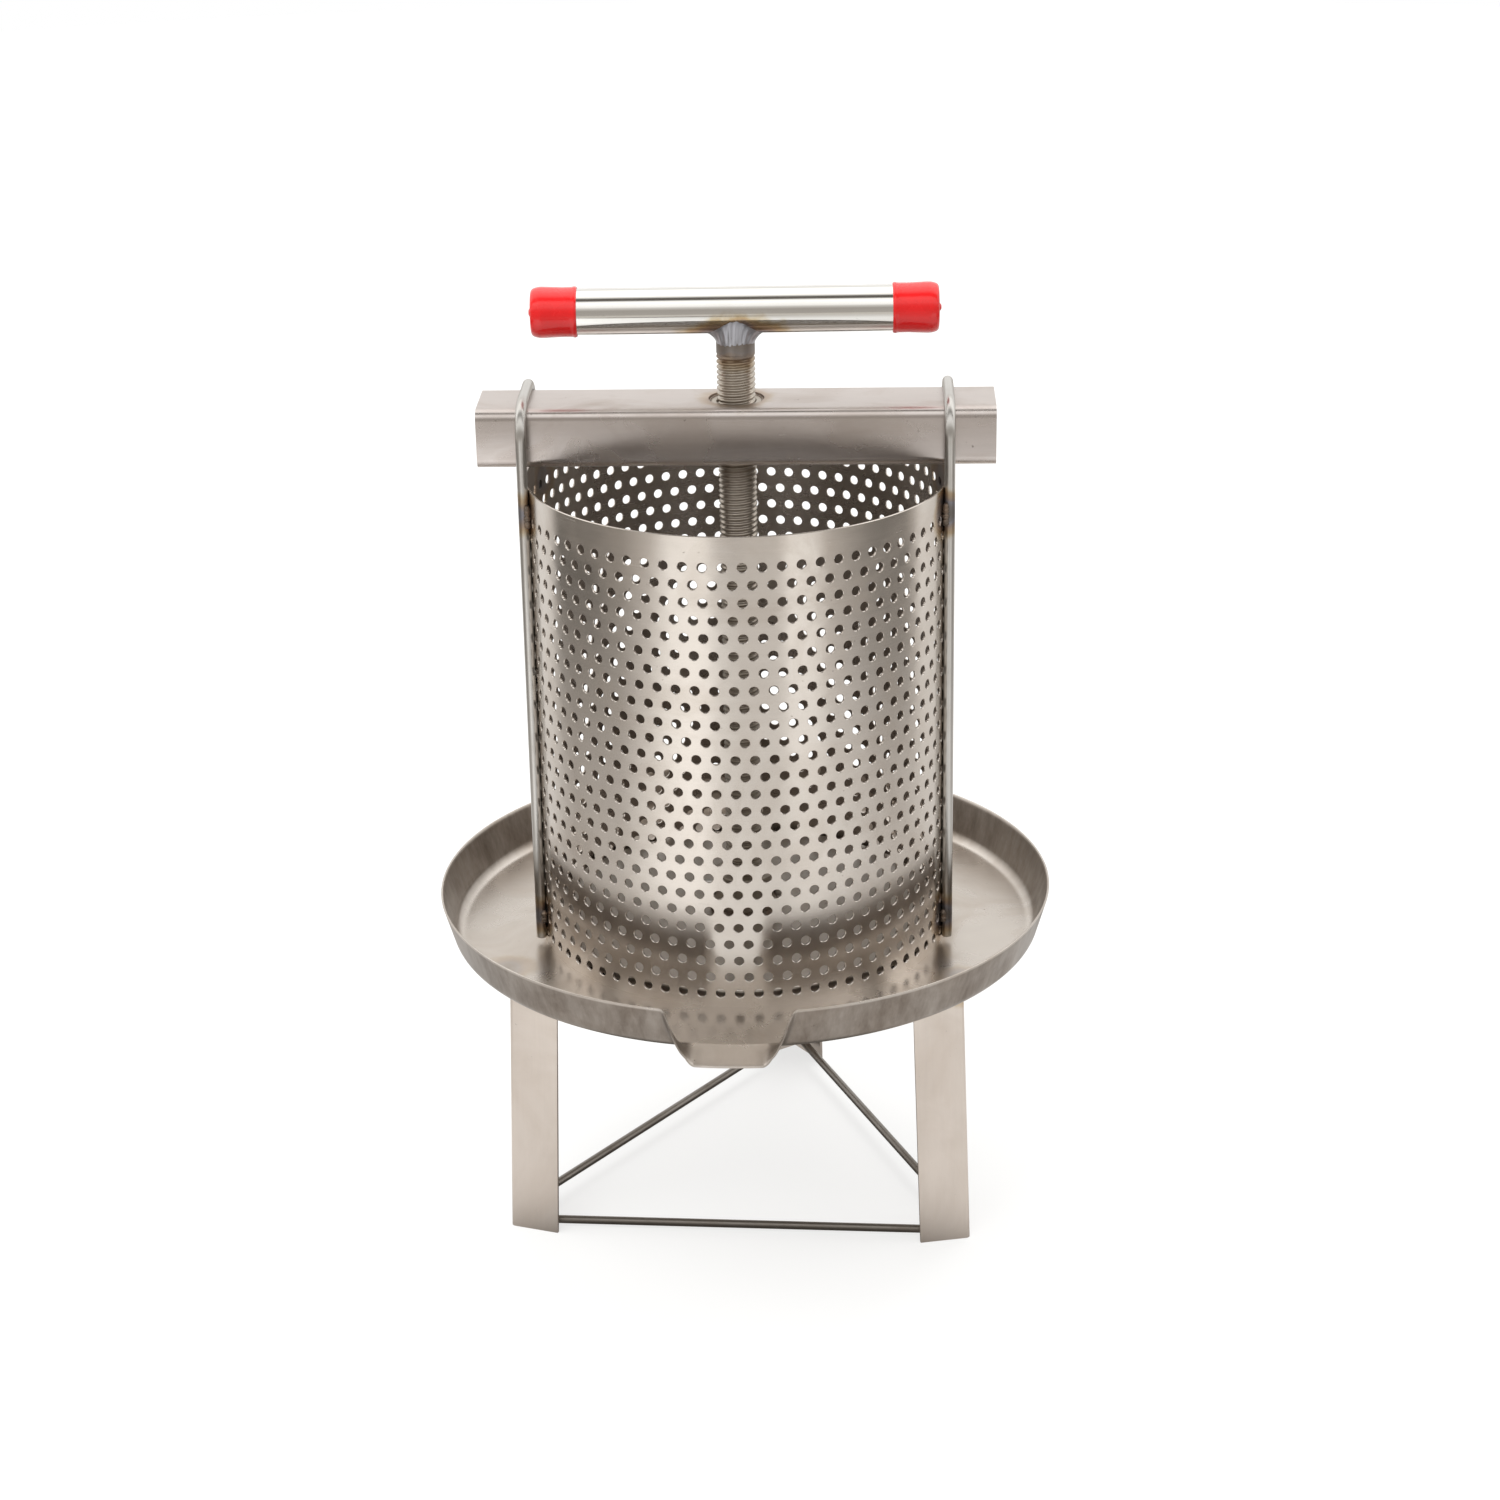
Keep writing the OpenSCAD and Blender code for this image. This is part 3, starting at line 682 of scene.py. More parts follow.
class Sizes:
    """Sizes of the press, read from its packed boxes and the settings."""

    def __init__(self, settings):
        box = {name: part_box(name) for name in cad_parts}
        self.box = box
        self.basket_r = box["basket_shell"][1].x
        self.basket_wall = settings.basket.wall
        self.basket_z = box["basket_shell"][0].z
        self.rim_z = box["basket_shell"][1].z
        self.floor_z = box["basket_shell"][0].z
        self.under_z = box["leg_rear"][1].z
        self.loop_r = settings.beam.loop_d / 2
        self.loop_y = settings.beam.loop_w / 2
        self.loop_x = math.sqrt((self.basket_r + self.loop_r) ** 2 - self.loop_y**2)
        self.loop_top = box["loop_right"][1].z - self.loop_r
        self.loop_foot = box["loop_right"][0].z
        self.screw_r = box["screw"][1].x
        self.handle_r = (box["handle_bar"][1].z - box["handle_bar"][0].z) / 2
        self.handle_z = box["handle_bar"][1].z - self.handle_r
        self.handle_half = settings.screw.handle_l / 2
        self.leg = settings.leg
        top = self.leg.top_r
        # each leg: its angle round from the spout, and the radius of its outer corner at the top
        self.legs = {
            "leg_front_left": (-self.leg.front - self.leg.turn, top),
            "leg_front_right": (self.leg.front - self.leg.turn, top),
            "leg_rear": (self.leg.rear, top + self.leg.rear_out),
        }

    def leg_radius(self, leg, z):
        """Radius of a leg's outer corner, which grows evenly from the top to the foot."""
        return leg[1] + self.leg.spread * (1 - z / self.under_z)

    def in_leg(self, leg, side, run, off, z):
        """Point inside a leg: from its corner, run along one flange and off away from that flange."""
        spot = self.leg_radius(leg, z) * heading(leg[0])
        spot = spot - heading(leg[0] + side * math.pi / 4) * run
        spot = spot - heading(leg[0] - side * math.pi / 4) * (self.leg.wall + off)
        return np.array([spot[0], spot[1], z])


def heading(turn):
    """Unit vector at an angle round from the spout."""
    return np.array([math.sin(turn), -math.cos(turn)])


def turned(shape, by):
    """Shape turned about the screw's axis: (x cos - y sin, x sin + y cos, z)."""
    points, faces = shape
    x, y, z = points.T
    return np.stack([x * math.cos(by) - y * math.sin(by), x * math.sin(by) + y * math.cos(by), z], -1), faces


# ---------- operators ----------


class Shop:
    """What the operators share once main has set it up: the sizes and the finishes."""

    sizes = None
    finishes = None


class PressOperator:
    """Settings and finishes as every operator of the press reaches them."""

    bl_options = {"REGISTER", "UNDO"}

    @property
    def settings(self):
        return bpy.context.scene.honey_press

    @property
    def sizes(self):
        if Shop.sizes is None:
            Shop.sizes = Sizes(self.settings)
        return Shop.sizes

    @property
    def finishes(self):
        if Shop.finishes is None:
            Shop.finishes = Finishes(self.settings.finish)
        return Shop.finishes


class HONEYPRESS_OT_tray(PressOperator, bpy.types.Operator):
    """Tray with its wall pressed out into a pouring spout"""

    bl_idname = "honeypress.tray"
    bl_label = "Tray and Spout"

    def execute(self, context):
        s, given = self.sizes, self.settings.tray
        half = given.sheet / 2
        base_z = s.floor_z - half
        # closer steps round the spout than round the rest of the tray
        front = math.radians(15)
        close_steps = np.linspace(-front, front, 180, endpoint=False)
        wide_steps = np.linspace(front, 2 * math.pi - front, 330, endpoint=False)
        turn = np.concatenate([close_steps, wide_steps])
        lip_r = -s.box["pour_spout"][0].y - half
        lip_drop = base_z - (s.box["pour_spout"][0].z + half)
        slope = math.atan2(lip_drop, lip_r - given.flat_r)
        # 1 in the spout's channel, 0 where the wall stands as everywhere else
        aside = np.abs(np.sin(turn)) * given.flat_r * 1.06 + np.where(np.cos(turn) < 0, 1.0, 0.0)
        t = np.clip((given.spout_out - aside) / (given.spout_out - given.spout_in), 0, 1)
        open_by = t * t * (3 - 2 * t)
        upright = math.pi / 2 - given.lean
        lift = upright * (1 - open_by) - slope * open_by
        wall_rise = s.box["tray_pan"][1].z - half - base_z - given.corner_r * (1 - math.cos(upright))
        wall_l = wall_rise / math.sin(upright)
        lip_l = (lip_r - given.flat_r - given.corner_r * math.sin(slope)) / math.cos(slope)
        run = wall_l * (1 - open_by) + lip_l * open_by

        floor_r = np.array([30, 60, 90, 105, 118, 128, 134, 136.8]) * MM
        floor = cylinder_points(turn[None, :], base_z, floor_r[:, None])
        bent = np.linspace(0, 1, 12)[:, None] * lift[None, :]
        corner_z = base_z + np.sign(lift) * given.corner_r * (1 - np.cos(bent))
        corner_at = given.flat_r + given.corner_r * np.sin(np.abs(bent))
        corner = cylinder_points(turn[None, :], corner_z, corner_at)
        gone = np.linspace(0, 1, 9)[1:, None] * run[None, :]
        foot_r = given.flat_r + given.corner_r * np.sin(np.abs(lift))
        foot_z = base_z + np.sign(lift) * given.corner_r * (1 - np.cos(lift))
        wall = cylinder_points(turn[None, :], foot_z + gone * np.sin(lift), foot_r + gone * np.cos(lift))
        middle = np.concatenate([floor, corner, wall])
        shape = sheet(middle, (0, 0, base_z), given.sheet)

        wall_from = given.flat_r + 0.6 * given.corner_r

        rim_z = s.box["tray_pan"][1].z

        def painted_wall_reflection(t, place, shade, roughness):
            """Wall darkened by a painted reflection of the basket's shaded side:
            blotches and streaks that run up it, less at the brim and none in the spout's channel."""
            parts = t.node("SeparateXYZ", {0: place}).outputs
            level = t.node("CombineXYZ", {"X": parts["X"], "Y": parts["Y"]}).outputs[0]
            out = t.vector("LENGTH", level)
            on_wall = t.remap(out, wall_from - 2 * MM, wall_from + 2 * MM)
            streaks = t.noise(t.vector("MULTIPLY", place, (1, 1, 0.12)), 150.0, 4.0, 0.7)
            blotch = t.noise(place, 28.0, 4.0, 0.65, 0.8)
            depth = t.math("ADD", t.math("MULTIPLY", streaks, 0.9), t.math("MULTIPLY", blotch, 0.9))
            depth = t.remap(depth, 0.55, 1.25, 1.0, 0.55)
            brim = t.remap(parts["Z"], rim_z - 1.6 * MM, rim_z - 0.6 * MM, 1.0, 0.25)
            aside = t.math("ABSOLUTE", parts["X"])
            beside = t.remap(aside, 0.8 * given.spout_in, 1.7 * given.spout_in)
            behind = t.remap(parts["Y"], -80 * MM, -60 * MM)
            off_spout = t.math("MAXIMUM", beside, behind)
            mask = t.math("MULTIPLY", t.math("MULTIPLY", on_wall, depth), brim, clamp=True)
            mask = t.math("MULTIPLY", mask, off_spout)
            # painted reflection: the wall's colour is multiplied darker under the mask
            shade = t.mix(mask, shade, t.mix(1.0, shade, (0.24, 0.21, 0.185), "MULTIPLY"))
            return shade, t.math("ADD", roughness, t.math("MULTIPLY", mask, 0.06))

        leg_tops = [(*(leg[1] * heading(leg[0])), s.floor_z) for leg in s.legs.values()]
        steel = self.finishes.steel(
            "tray sheet",
            tuple(self.settings.finish.sheet),
            rough=0.25,
            stretch=(60, 60, 900),
            depth=0.05,
            amount=0.75,
            heat=(near_points(*leg_tops, folded=False), 0.016, 0.25),
            contrast=0.09,
            extra=painted_wall_reflection,
        )
        make_piece("tray", [shape], "stand", ["tray_pan", "pour_spout"], steel)
        return {"FINISHED"}


class HONEYPRESS_OT_legs(PressOperator, bpy.types.Operator):
    """Three angle legs with the welds that hold them under the tray"""

    bl_idname = "honeypress.legs"
    bl_label = "Legs"

    def section(self, leg):
        """Angle section, corner at the origin, flanges running inwards: outer and inner sides with a round
        bend."""
        given = self.settings.leg
        bend = np.linspace(0, math.pi / 2, 9)

        def side(off, r):
            flange = np.array([[given.flange, off], [given.flange * 0.5, off]])
            arc = np.stack([off + r - r * np.sin(bend), off + r - r * np.cos(bend)], -1)
            return np.vstack([flange, arc, flange[::-1, ::-1]])

        outer, inner = side(0, given.bend), side(given.wall, given.bend - given.wall)
        a = heading(leg[0] + math.pi / 4)
        b = heading(leg[0] - math.pi / 4)
        return [-(p[:, :1] * a + p[:, 1:] * b) for p in (outer, inner)]

    def execute(self, context):
        s = self.sizes
        steel = self.finishes.steel(
            "leg angle",
            tuple(self.settings.finish.leg),
            rough=0.36,
            stretch=(700, 700, 26),
            depth=0.05,
            amount=0.35,
            heat=(near_level(s.under_z), 0.016, 0.8),
            contrast=0.07,
        )
        beads = []
        for name, leg in s.legs.items():
            outer, inner = self.section(leg)
            levels = np.linspace(0, s.under_z, 12)

            def rings_at(section, leg=leg, levels=levels):
                corner = s.leg_radius(leg, levels)[:, None] * heading(leg[0])
                flat = corner[:, None] + section[None]
                height = np.broadcast_to(levels[:, None, None], (*flat.shape[:2], 1))
                return np.concatenate([flat, height], -1)

            make_piece(name, [prism(outer, inner, rings_at)], "stand", [name], steel)
            top = leg[1] * heading(leg[0])
            for side in (-1, 1):
                along = -heading(leg[0] + side * math.pi / 4)
                out = heading(leg[0] - side * math.pi / 4)
                for off in (0.6 * MM, -self.settings.leg.wall - 0.6 * MM):
                    a = top + along * 3 * MM + out * off
                    b = top + along * (self.settings.leg.flange - 2 * MM) + out * off
                    line = [[*a, s.under_z - 0.8 * MM], [*b, s.under_z - 0.8 * MM]]
                    beads.append(weld_run(line, 1.25 * MM, seed=side + off))
        make_piece("leg_beads", beads, "stand", ["leg_welds"], self.finishes.weld())
        return {"FINISHED"}


class HONEYPRESS_OT_tie_rods(PressOperator, bpy.types.Operator):
    """Rods between the feet, with a weld at each end"""

    bl_idname = "honeypress.tie_rods"
    bl_label = "Tie Rods"

    def execute(self, context):
        s, given = self.sizes, self.settings.leg
        steel = self.finishes.steel(
            "tie rod",
            tuple(self.settings.finish.tie),
            rough=0.38,
            stretch=(500, 500, 500),
            depth=0.10,
            amount=0.8,
            contrast=0.16,
        )
        left, right, rear = s.legs["leg_front_left"], s.legs["leg_front_right"], s.legs["leg_rear"]
        ends = {
            "tie_rod_front": ((left, -1), (right, 1)),
            "tie_rod_left": ((left, 1), (rear, -1)),
            "tie_rod_right": ((right, -1), (rear, 1)),
        }
        r = given.tie_d / 2
        beads = []
        for name, pair in ends.items():
            z = (s.box[name][0].z + s.box[name][1].z) / 2
            a, b = (s.in_leg(leg, side, given.tie_inset, r, z) for leg, side in pair)
            path = np.linspace(a, b, 24)
            make_piece(name, [rod(path, r)], "stand", [name], steel)
            for leg, side in pair:
                top = [s.in_leg(leg, side, run, 0.8 * MM, z + r) for run in (8 * MM, 14.5 * MM)]
                beads.append(weld_run(top, 1.5 * MM, seed=side))
        make_piece("tie_beads", beads, "stand", ["tie_rod_welds"], self.finishes.weld())
        return {"FINISHED"}


class HONEYPRESS_OT_basket(PressOperator, bpy.types.Operator):
    """Basket of perforated sheet, with its bottom and seam"""

    bl_idname = "honeypress.basket"
    bl_label = "Basket"

    def perforated(self, first, rows, low_rings, high_rings):
        """Cylinder with staggered holes. Every hole has a cell of 16 lattice points round its border and 16
        points on each of its three edges: the outer one, the same broken by a small bevel, and the inner one.
        Neighbouring cells share their lattice points, and odd rows are shifted by half a cell.
        low_rings and high_rings are the (radius, height) rings that close the sheet below and above."""
        s, given = self.sizes, self.settings.basket
        outer_r, inner_r = s.basket_r, s.basket_r - s.basket_wall
        step = 2 * math.pi / given.around
        columns, heights = 4 * given.around, 4 * given.rows + 1
        side_u = np.array([0, 1, 2, 3, 4, 4, 4, 4, 4, 3, 2, 1, 0, 0, 0, 0])
        side_v = np.array([0, 0, 0, 0, 0, 1, 2, 3, 4, 4, 4, 4, 4, 3, 2, 1])
        j = np.arange(first, first + rows)[:, None, None]
        i = np.arange(given.around)[None, :, None]
        shift = 2 * ((given.rows - 1 - j) % 2)
        key = ((4 * i + shift + side_u) % columns) * heights + 4 * j + side_v
        used, border = np.unique(key, return_inverse=True)
        border = border.reshape(-1, 16)
        low_row_z = s.rim_z - given.top_row - (given.rows - 1) * given.row_pitch
        lattice_turn = given.first_hole + (used // heights - 2) / 4 * step
        lattice_z = low_row_z + (used % heights - 2) / 4 * given.row_pitch

        centre_turn = given.first_hole + (i + shift / 4) * step
        centre_z = low_row_z + j * given.row_pitch
        centre_turn, centre_z = (v.reshape(-1, 1) for v in np.broadcast_arrays(centre_turn, centre_z))
        round_hole = math.radians(225) + whole_turn(16)[None, :]

        def hole_ring(hole_r, sheet_r):
            turn = centre_turn + hole_r * np.cos(round_hole) / sheet_r
            return cylinder_points(turn, centre_z + hole_r * np.sin(round_hole), sheet_r)

        hole_r = given.hole_d / 2
        blocks = [
            cylinder_points(lattice_turn, lattice_z, outer_r),
            hole_ring(hole_r + given.burr, outer_r).reshape(-1, 3),
            hole_ring(hole_r, outer_r - given.burr).reshape(-1, 3),
            hole_ring(hole_r, inner_r).reshape(-1, 3),
            cylinder_points(lattice_turn, lattice_z, inner_r),
        ]
        starts = np.cumsum([0] + [len(b) for b in blocks])
        ring_number = np.arange(len(centre_z) * 16).reshape(-1, 16)
        levels = [border + starts[0]] + [ring_number + starts[k] for k in (1, 2, 3)] + [border + starts[4]]
        faces = []
        for a, b in zip(levels[:-1], levels[1:]):
            faces.append(np.stack([a, np.roll(a, -1, 1), np.roll(b, -1, 1), b], -1).reshape(-1, 4))

        start = starts[-1]
        column = np.arange(columns)
        # the lattice's own columns, as angles, for the plain rings above and below
        column_turn = given.first_hole + (column - 2) / 4 * step
        for level, rings, upwards in ((4 * first, low_rings, False), (4 * (first + rows), high_rings, True)):
            edge = np.searchsorted(used, column * heights + level)
            chain = [edge + starts[0]]
            for r, z in rings:
                blocks.append(cylinder_points(column_turn, z, r))
                chain.append(column + start)
                start += columns
            chain.append(edge + starts[4])
            for a, b in zip(chain[:-1], chain[1:]):
                quads = strip(a, b)
                faces.append(quads if upwards else quads[:, ::-1])
        points = np.vstack(blocks)
        faces = np.vstack(faces)
        return points, outward(points, faces)

    def execute(self, context):
        s, given = self.sizes, self.settings.basket
        outer, inner, edge = s.basket_r, s.basket_r - s.basket_wall, 0.3 * MM
        top, under = s.rim_z, s.rim_z - edge
        rim = [(outer, under), (outer - edge, top), (inner + edge, top), (inner, under)]
        foot = [(outer, s.basket_z), (inner, s.basket_z)]
        weld_low = (s.loop_x, s.loop_y, s.loop_foot + 12 * MM)
        weld_high = (s.loop_x, s.loop_y, s.rim_z - 12 * MM)

        def painted_inner_shade(t, place, shade, roughness):
            """Inner face dulled and darkened brown: painted shade for the inside of the basket."""
            parts = t.node("SeparateXYZ", {0: place}).outputs
            out = t.vector("LENGTH", t.node("CombineXYZ", {"X": parts["X"], "Y": parts["Y"]}).outputs[0])
            mask = t.remap(out, outer - 0.8 * MM, outer - 0.4 * MM, 0.85, 0.0)
            uneven = t.remap(t.noise(place, 45.0, 3.0, 0.6), 0.3, 0.7, 0.8, 1.0)
            mask = t.math("MULTIPLY", mask, uneven, clamp=True)
            # painted shade: the inner face's colour is multiplied darker
            shade = t.mix(mask, shade, t.mix(1.0, shade, (0.42, 0.385, 0.36), "MULTIPLY"))
            return shade, t.math("ADD", roughness, t.math("MULTIPLY", mask, 0.10))

        steel = self.finishes.steel(
            "basket sheet",
            tuple(self.settings.finish.sheet),
            rough=0.175,
            stretch=(38, 38, 1500),
            depth=0.05,
            amount=0.45,
            heat=(near_points(weld_low, weld_high), 0.016, 0.6),
            contrast=0.07,
            anisotropy_turn=0.25,
            extra=painted_inner_shade,
        )
        half = given.rows // 2
        for name, first, rows, low, high in (
            ("basket_lower", 0, half, foot, []),
            ("basket_upper", half, given.rows - half, [], rim),
        ):
            shape = self.perforated(first, rows, low, high)
            make_piece(name, [shape], "basket", ["basket_shell"], steel)

        low, high = s.box["basket_bottom"]
        corners = [(0, low.z), (high.x, low.z), (high.x, high.z), (0, high.z)]
        disc = lathe(rounded(corners, 0.4 * MM), 128)
        make_piece("basket_floor", [disc], "basket", ["basket_bottom"], self.finishes.plate())

        seam_y = s.basket_r - 0.35 * MM
        line = [[0, seam_y, s.basket_z + 1 * MM], [0, seam_y, s.rim_z - 1 * MM]]
        seam = weld_run(line, 1.0 * MM, ripple=1.6 * MM)
        make_piece("basket_seam", [seam], "basket", ["basket_seam_weld"], self.finishes.weld())
        return {"FINISHED"}


class HONEYPRESS_OT_loops(PressOperator, bpy.types.Operator):
    """Two bent rod loops that hold the crossbeam down, and their welds"""

    bl_idname = "honeypress.loops"
    bl_label = "Loops"

    def path(self, x):
        """Up one side, over in two quarter circles and down the other side."""
        s, bend = self.sizes, self.settings.beam.loop_bend
        arc = np.linspace(0, math.pi / 2, 25)
        straight = np.linspace(s.loop_foot, s.loop_top - bend, 30)
        up = np.stack([np.full(30, -s.loop_y), straight], -1)
        over = np.stack([-s.loop_y + bend - bend * np.cos(arc), s.loop_top - bend + bend * np.sin(arc)], -1)
        half = np.vstack([up[:-1], over])
        other = half[::-1] * [-1, 1]
        both = np.vstack([half, np.linspace(half[-1], other[0], 8)[1:-1], other])
        return np.column_stack([np.full(len(both), x), both])

    def execute(self, context):
        s = self.sizes
        weld_low = (s.loop_x, s.loop_y, s.loop_foot + 12 * MM)
        weld_high = (s.loop_x, s.loop_y, s.rim_z - 12 * MM)
        steel = self.finishes.steel(
            "loop rod",
            tuple(self.settings.finish.rod),
            rough=0.27,
            stretch=(300, 300, 60),
            depth=0.05,
            amount=0.4,
            heat=(near_points(weld_low, weld_high), 0.013, 0.75),
            contrast=0.08,
        )
        # the beads' lower and upper ends, above the loop's foot, in millimetres
        rim_above = (s.rim_z - s.loop_foot) / MM
        spans = ((8, 15), (rim_above - 18.5, rim_above - 7))
        for side, name in ((-1, "left"), (1, "right")):
            loop = turned(rod(self.path(side * s.loop_x), s.loop_r), self.settings.beam.turn)
            make_piece("loop_" + name, [loop], "basket", ["loop_" + name], steel)
            beads = []
            for y in (-1, 1):
                spot = math.atan2(s.loop_y, s.loop_x)
                for by in (-1, 1):
                    turn = spot + by * 2.4 * MM / s.basket_r
                    r = s.basket_r + 1.3 * MM
                    x, at_y = side * r * math.cos(turn), y * r * math.sin(turn)
                    for low, high in spans:
                        line = [[x, at_y, s.loop_foot + low * MM], [x, at_y, s.loop_foot + high * MM]]
                        beads.append(weld_run(line, 1.65 * MM, ripple=2.2 * MM, lift=0.2, seed=y * by + low))
            name = "loop_welds_" + name
            beads = [turned(bead, self.settings.beam.turn) for bead in beads]
            make_piece(name, beads, "basket", [name], self.finishes.weld())
        return {"FINISHED"}


class HONEYPRESS_OT_crossbeam(PressOperator, bpy.types.Operator):
    """Rectangular tube across the basket, with the nut welded into its top"""

    bl_idname = "honeypress.crossbeam"
    bl_label = "Crossbeam and Nut"

    def wall_loop(self, width, height, r, across):
        """Rounded rectangle with 16 equal steps across the flat of its top and of its bottom."""
        bend = np.linspace(0, math.pi / 2, 9)[1:-1]
        flat = np.linspace(-across, across, 17)
        corner_y, corner_z = width / 2 - r, height / 2 - r
        out, up = r * np.sin(bend), r * np.cos(bend)
        right_y = np.concatenate([corner_y + out, [width / 2] * 2, corner_y + up])
        right_z = np.concatenate([corner_z + up, [corner_z, -corner_z], -corner_z - out])
        side = np.stack([right_y, right_z], -1)
        top = np.stack([flat, np.full(17, height / 2)], -1)
        return np.vstack([top, side, top[::-1] * [1, -1], side[::-1] * [-1, 1]])

    def execute(self, context):
        s, given = self.sizes, self.settings.beam
        low, high = s.box["crossbeam"]
        wall, r, end = given.wall, given.corner_r, given.length / 2
        width, height = given.width, high.z - low.z
        mid_z = (low.z + high.z) / 2
        across, window = width / 2 - r, 16 * MM
        side = np.linspace(window, end, 10)[1:]
        stations = np.concatenate([-side[::-1], np.linspace(-window, window, 17), side])
        loops = [
            self.wall_loop(width, height, r, across),
            self.wall_loop(width - 2 * wall, height - 2 * wall, r - wall, across),
        ]
        n, rows = len(loops[0]), len(stations)
        points, faces, walls = [], [], []
        start = 0
        number = np.arange(rows * n).reshape(rows, n)
        holes = ((0, s.box["nut_weld"][1].x), (17 + 16, s.screw_r + 0.8 * MM))
        first = 9
        for k, loop in enumerate(loops):
            along = np.broadcast_to(stations[:, None, None], (rows, n, 1))
            grid = np.concatenate([along, np.broadcast_to(loop[None], (rows, n, 2))], -1)
            block = number + start
            beside = np.roll(block, -1, 1)
            quads = np.stack([block[:-1], beside[:-1], beside[1:], block[1:]], -1)
            keep = np.ones((rows - 1, n), bool)
            points.append(grid.reshape(-1, 3))
            start += rows * n
            rims = []
            for column, hole_r in holes:
                keep[first : first + 16, column : column + 16] = False
                w = block[first : first + 17, column : column + 17]
                border = np.concatenate([w[0, :-1], w[:-1, -1], w[-1, :0:-1], w[:0:-1, 0]])
                spot = np.vstack(points)[border]
                turn = np.arctan2(spot[:, 1], spot[:, 0])
                ring = np.stack([hole_r * np.cos(turn), hole_r * np.sin(turn), spot[:, 2]], -1)
                points.append(ring)
                ring_number = np.arange(64) + start
                start += 64
                quad = strip(border, ring_number)
                faces.append(quad if k == 0 else quad[:, ::-1])
                rims.append(ring_number)
            kept = quads[keep]
            faces.append(kept if k == 0 else kept[:, ::-1])
            walls.append((block, rims))
        for outer_rim, inner_rim in zip(walls[0][1], walls[1][1]):
            faces.append(strip(outer_rim, inner_rim))
        for row, order in ((0, -1), (-1, 1)):
            faces.append(strip(walls[0][0][row], walls[1][0][row])[:, ::order])
        points = np.vstack(points) + [0, 0, mid_z]
        shape = turned((points, outward(points, np.vstack(faces))), given.turn)

        def satin(t, place, shade, roughness):
            """Top rubbed duller than the sides."""
            parts = t.node("SeparateXYZ", {0: place}).outputs
            top = t.remap(parts["Z"], high.z - 1.2 * MM, high.z - 0.2 * MM)
            return shade, t.math("ADD", roughness, t.math("MULTIPLY", top, 0.17))

        welds = near_points((0, 0, high.z), (0, 0, low.z))
        steel = self.finishes.steel(
            "beam tube",
            tuple(self.settings.finish.beam),
            rough=0.225,
            stretch=(30, 900, 900),
            depth=0.04,
            amount=0.7,
            heat=(welds, 0.020, 0.45),
            contrast=0.10,
            extra=satin,
        )
        make_piece("crossbeam", [shape], "basket", ["crossbeam"], steel)

        low, high = s.box["spindle_nut"]
        bore = s.screw_r + 0.06 * MM
        ring = [(bore, low.z), (high.x, low.z), (high.x, high.z), (bore, high.z), (bore, low.z)]
        profile = rounded(ring, 0.8 * MM)[:-1]
        nut = lathe(profile, 72)
        make_piece("spindle_nut", [nut], "basket", ["spindle_nut"], self.finishes.machined())
        weld_high = s.box["nut_weld"][1]
        bead = weld_ring(weld_high.x - 0.55 * MM, weld_high.z - 0.9 * MM, 0.75 * MM)
        make_piece("nut_bead", [bead], "basket", ["nut_weld"], self.finishes.weld())
        return {"FINISHED"}


class HONEYPRESS_OT_screw(PressOperator, bpy.types.Operator):
    """Right-hand threaded screw with a groove at its foot"""

    bl_idname = "honeypress.screw"
    bl_label = "Screw"

    def execute(self, context):
        s, given = self.sizes, self.settings.screw
        low, high = s.box["screw"]
        keeper = s.box["keeper_screws"]
        groove_z, groove_half = (keeper[0].z + keeper[1].z) / 2, 3.0 * MM
        plain_z = s.handle_z - s.handle_r - given.neck
        thread_low = keeper[1].z + 8 * MM
        z = np.arange(low.z + 0.6 * MM, plain_z + 2 * MM, given.pitch / 8)
        z = np.concatenate([[low.z], z, np.linspace(plain_z + 3 * MM, high.z, 6)])[:, None]
        turn = whole_turn(44)[None, :]
        # thread: distance from the nearest root along the screw, flattened at crest and root
        phase = (z / given.pitch - turn / (2 * math.pi)) % 1
        ridge = np.clip(1.35 * np.abs(2 * phase - 1) - 0.17, 0, 1)
        ridge = ridge * ridge * (3 - 2 * ridge)
        fade = np.clip((z - thread_low) / (2 * MM), 0, 1) * np.clip((plain_z - z) / (3 * MM), 0, 1)
        r = s.screw_r - given.depth * ridge * fade
        in_groove = np.clip((groove_half - np.abs(z - groove_z)) / (0.35 * MM), 0, 1)
        r = r - 2.5 * MM * in_groove
        r = r - np.where(z < low.z + 0.3 * MM, 0.6 * MM, 0)
        rings = cylinder_points(turn, z, r)
        shape = skin(rings, np.array([0, 0, low.z]), np.array([0, 0, high.z]))
        steel = self.finishes.steel(
            "screw steel",
            tuple(self.settings.finish.screw),
            rough=0.27,
            stretch=(160, 160, 1400),
            depth=0.06,
            amount=0.7,
            heat=(near_level(s.handle_z - s.handle_r - 1 * MM), 0.017, 0.6),
            contrast=0.16,
        )
        make_piece("screw", [shape], "spindle", ["screw"], steel, sharp=math.radians(50))
        return {"FINISHED"}


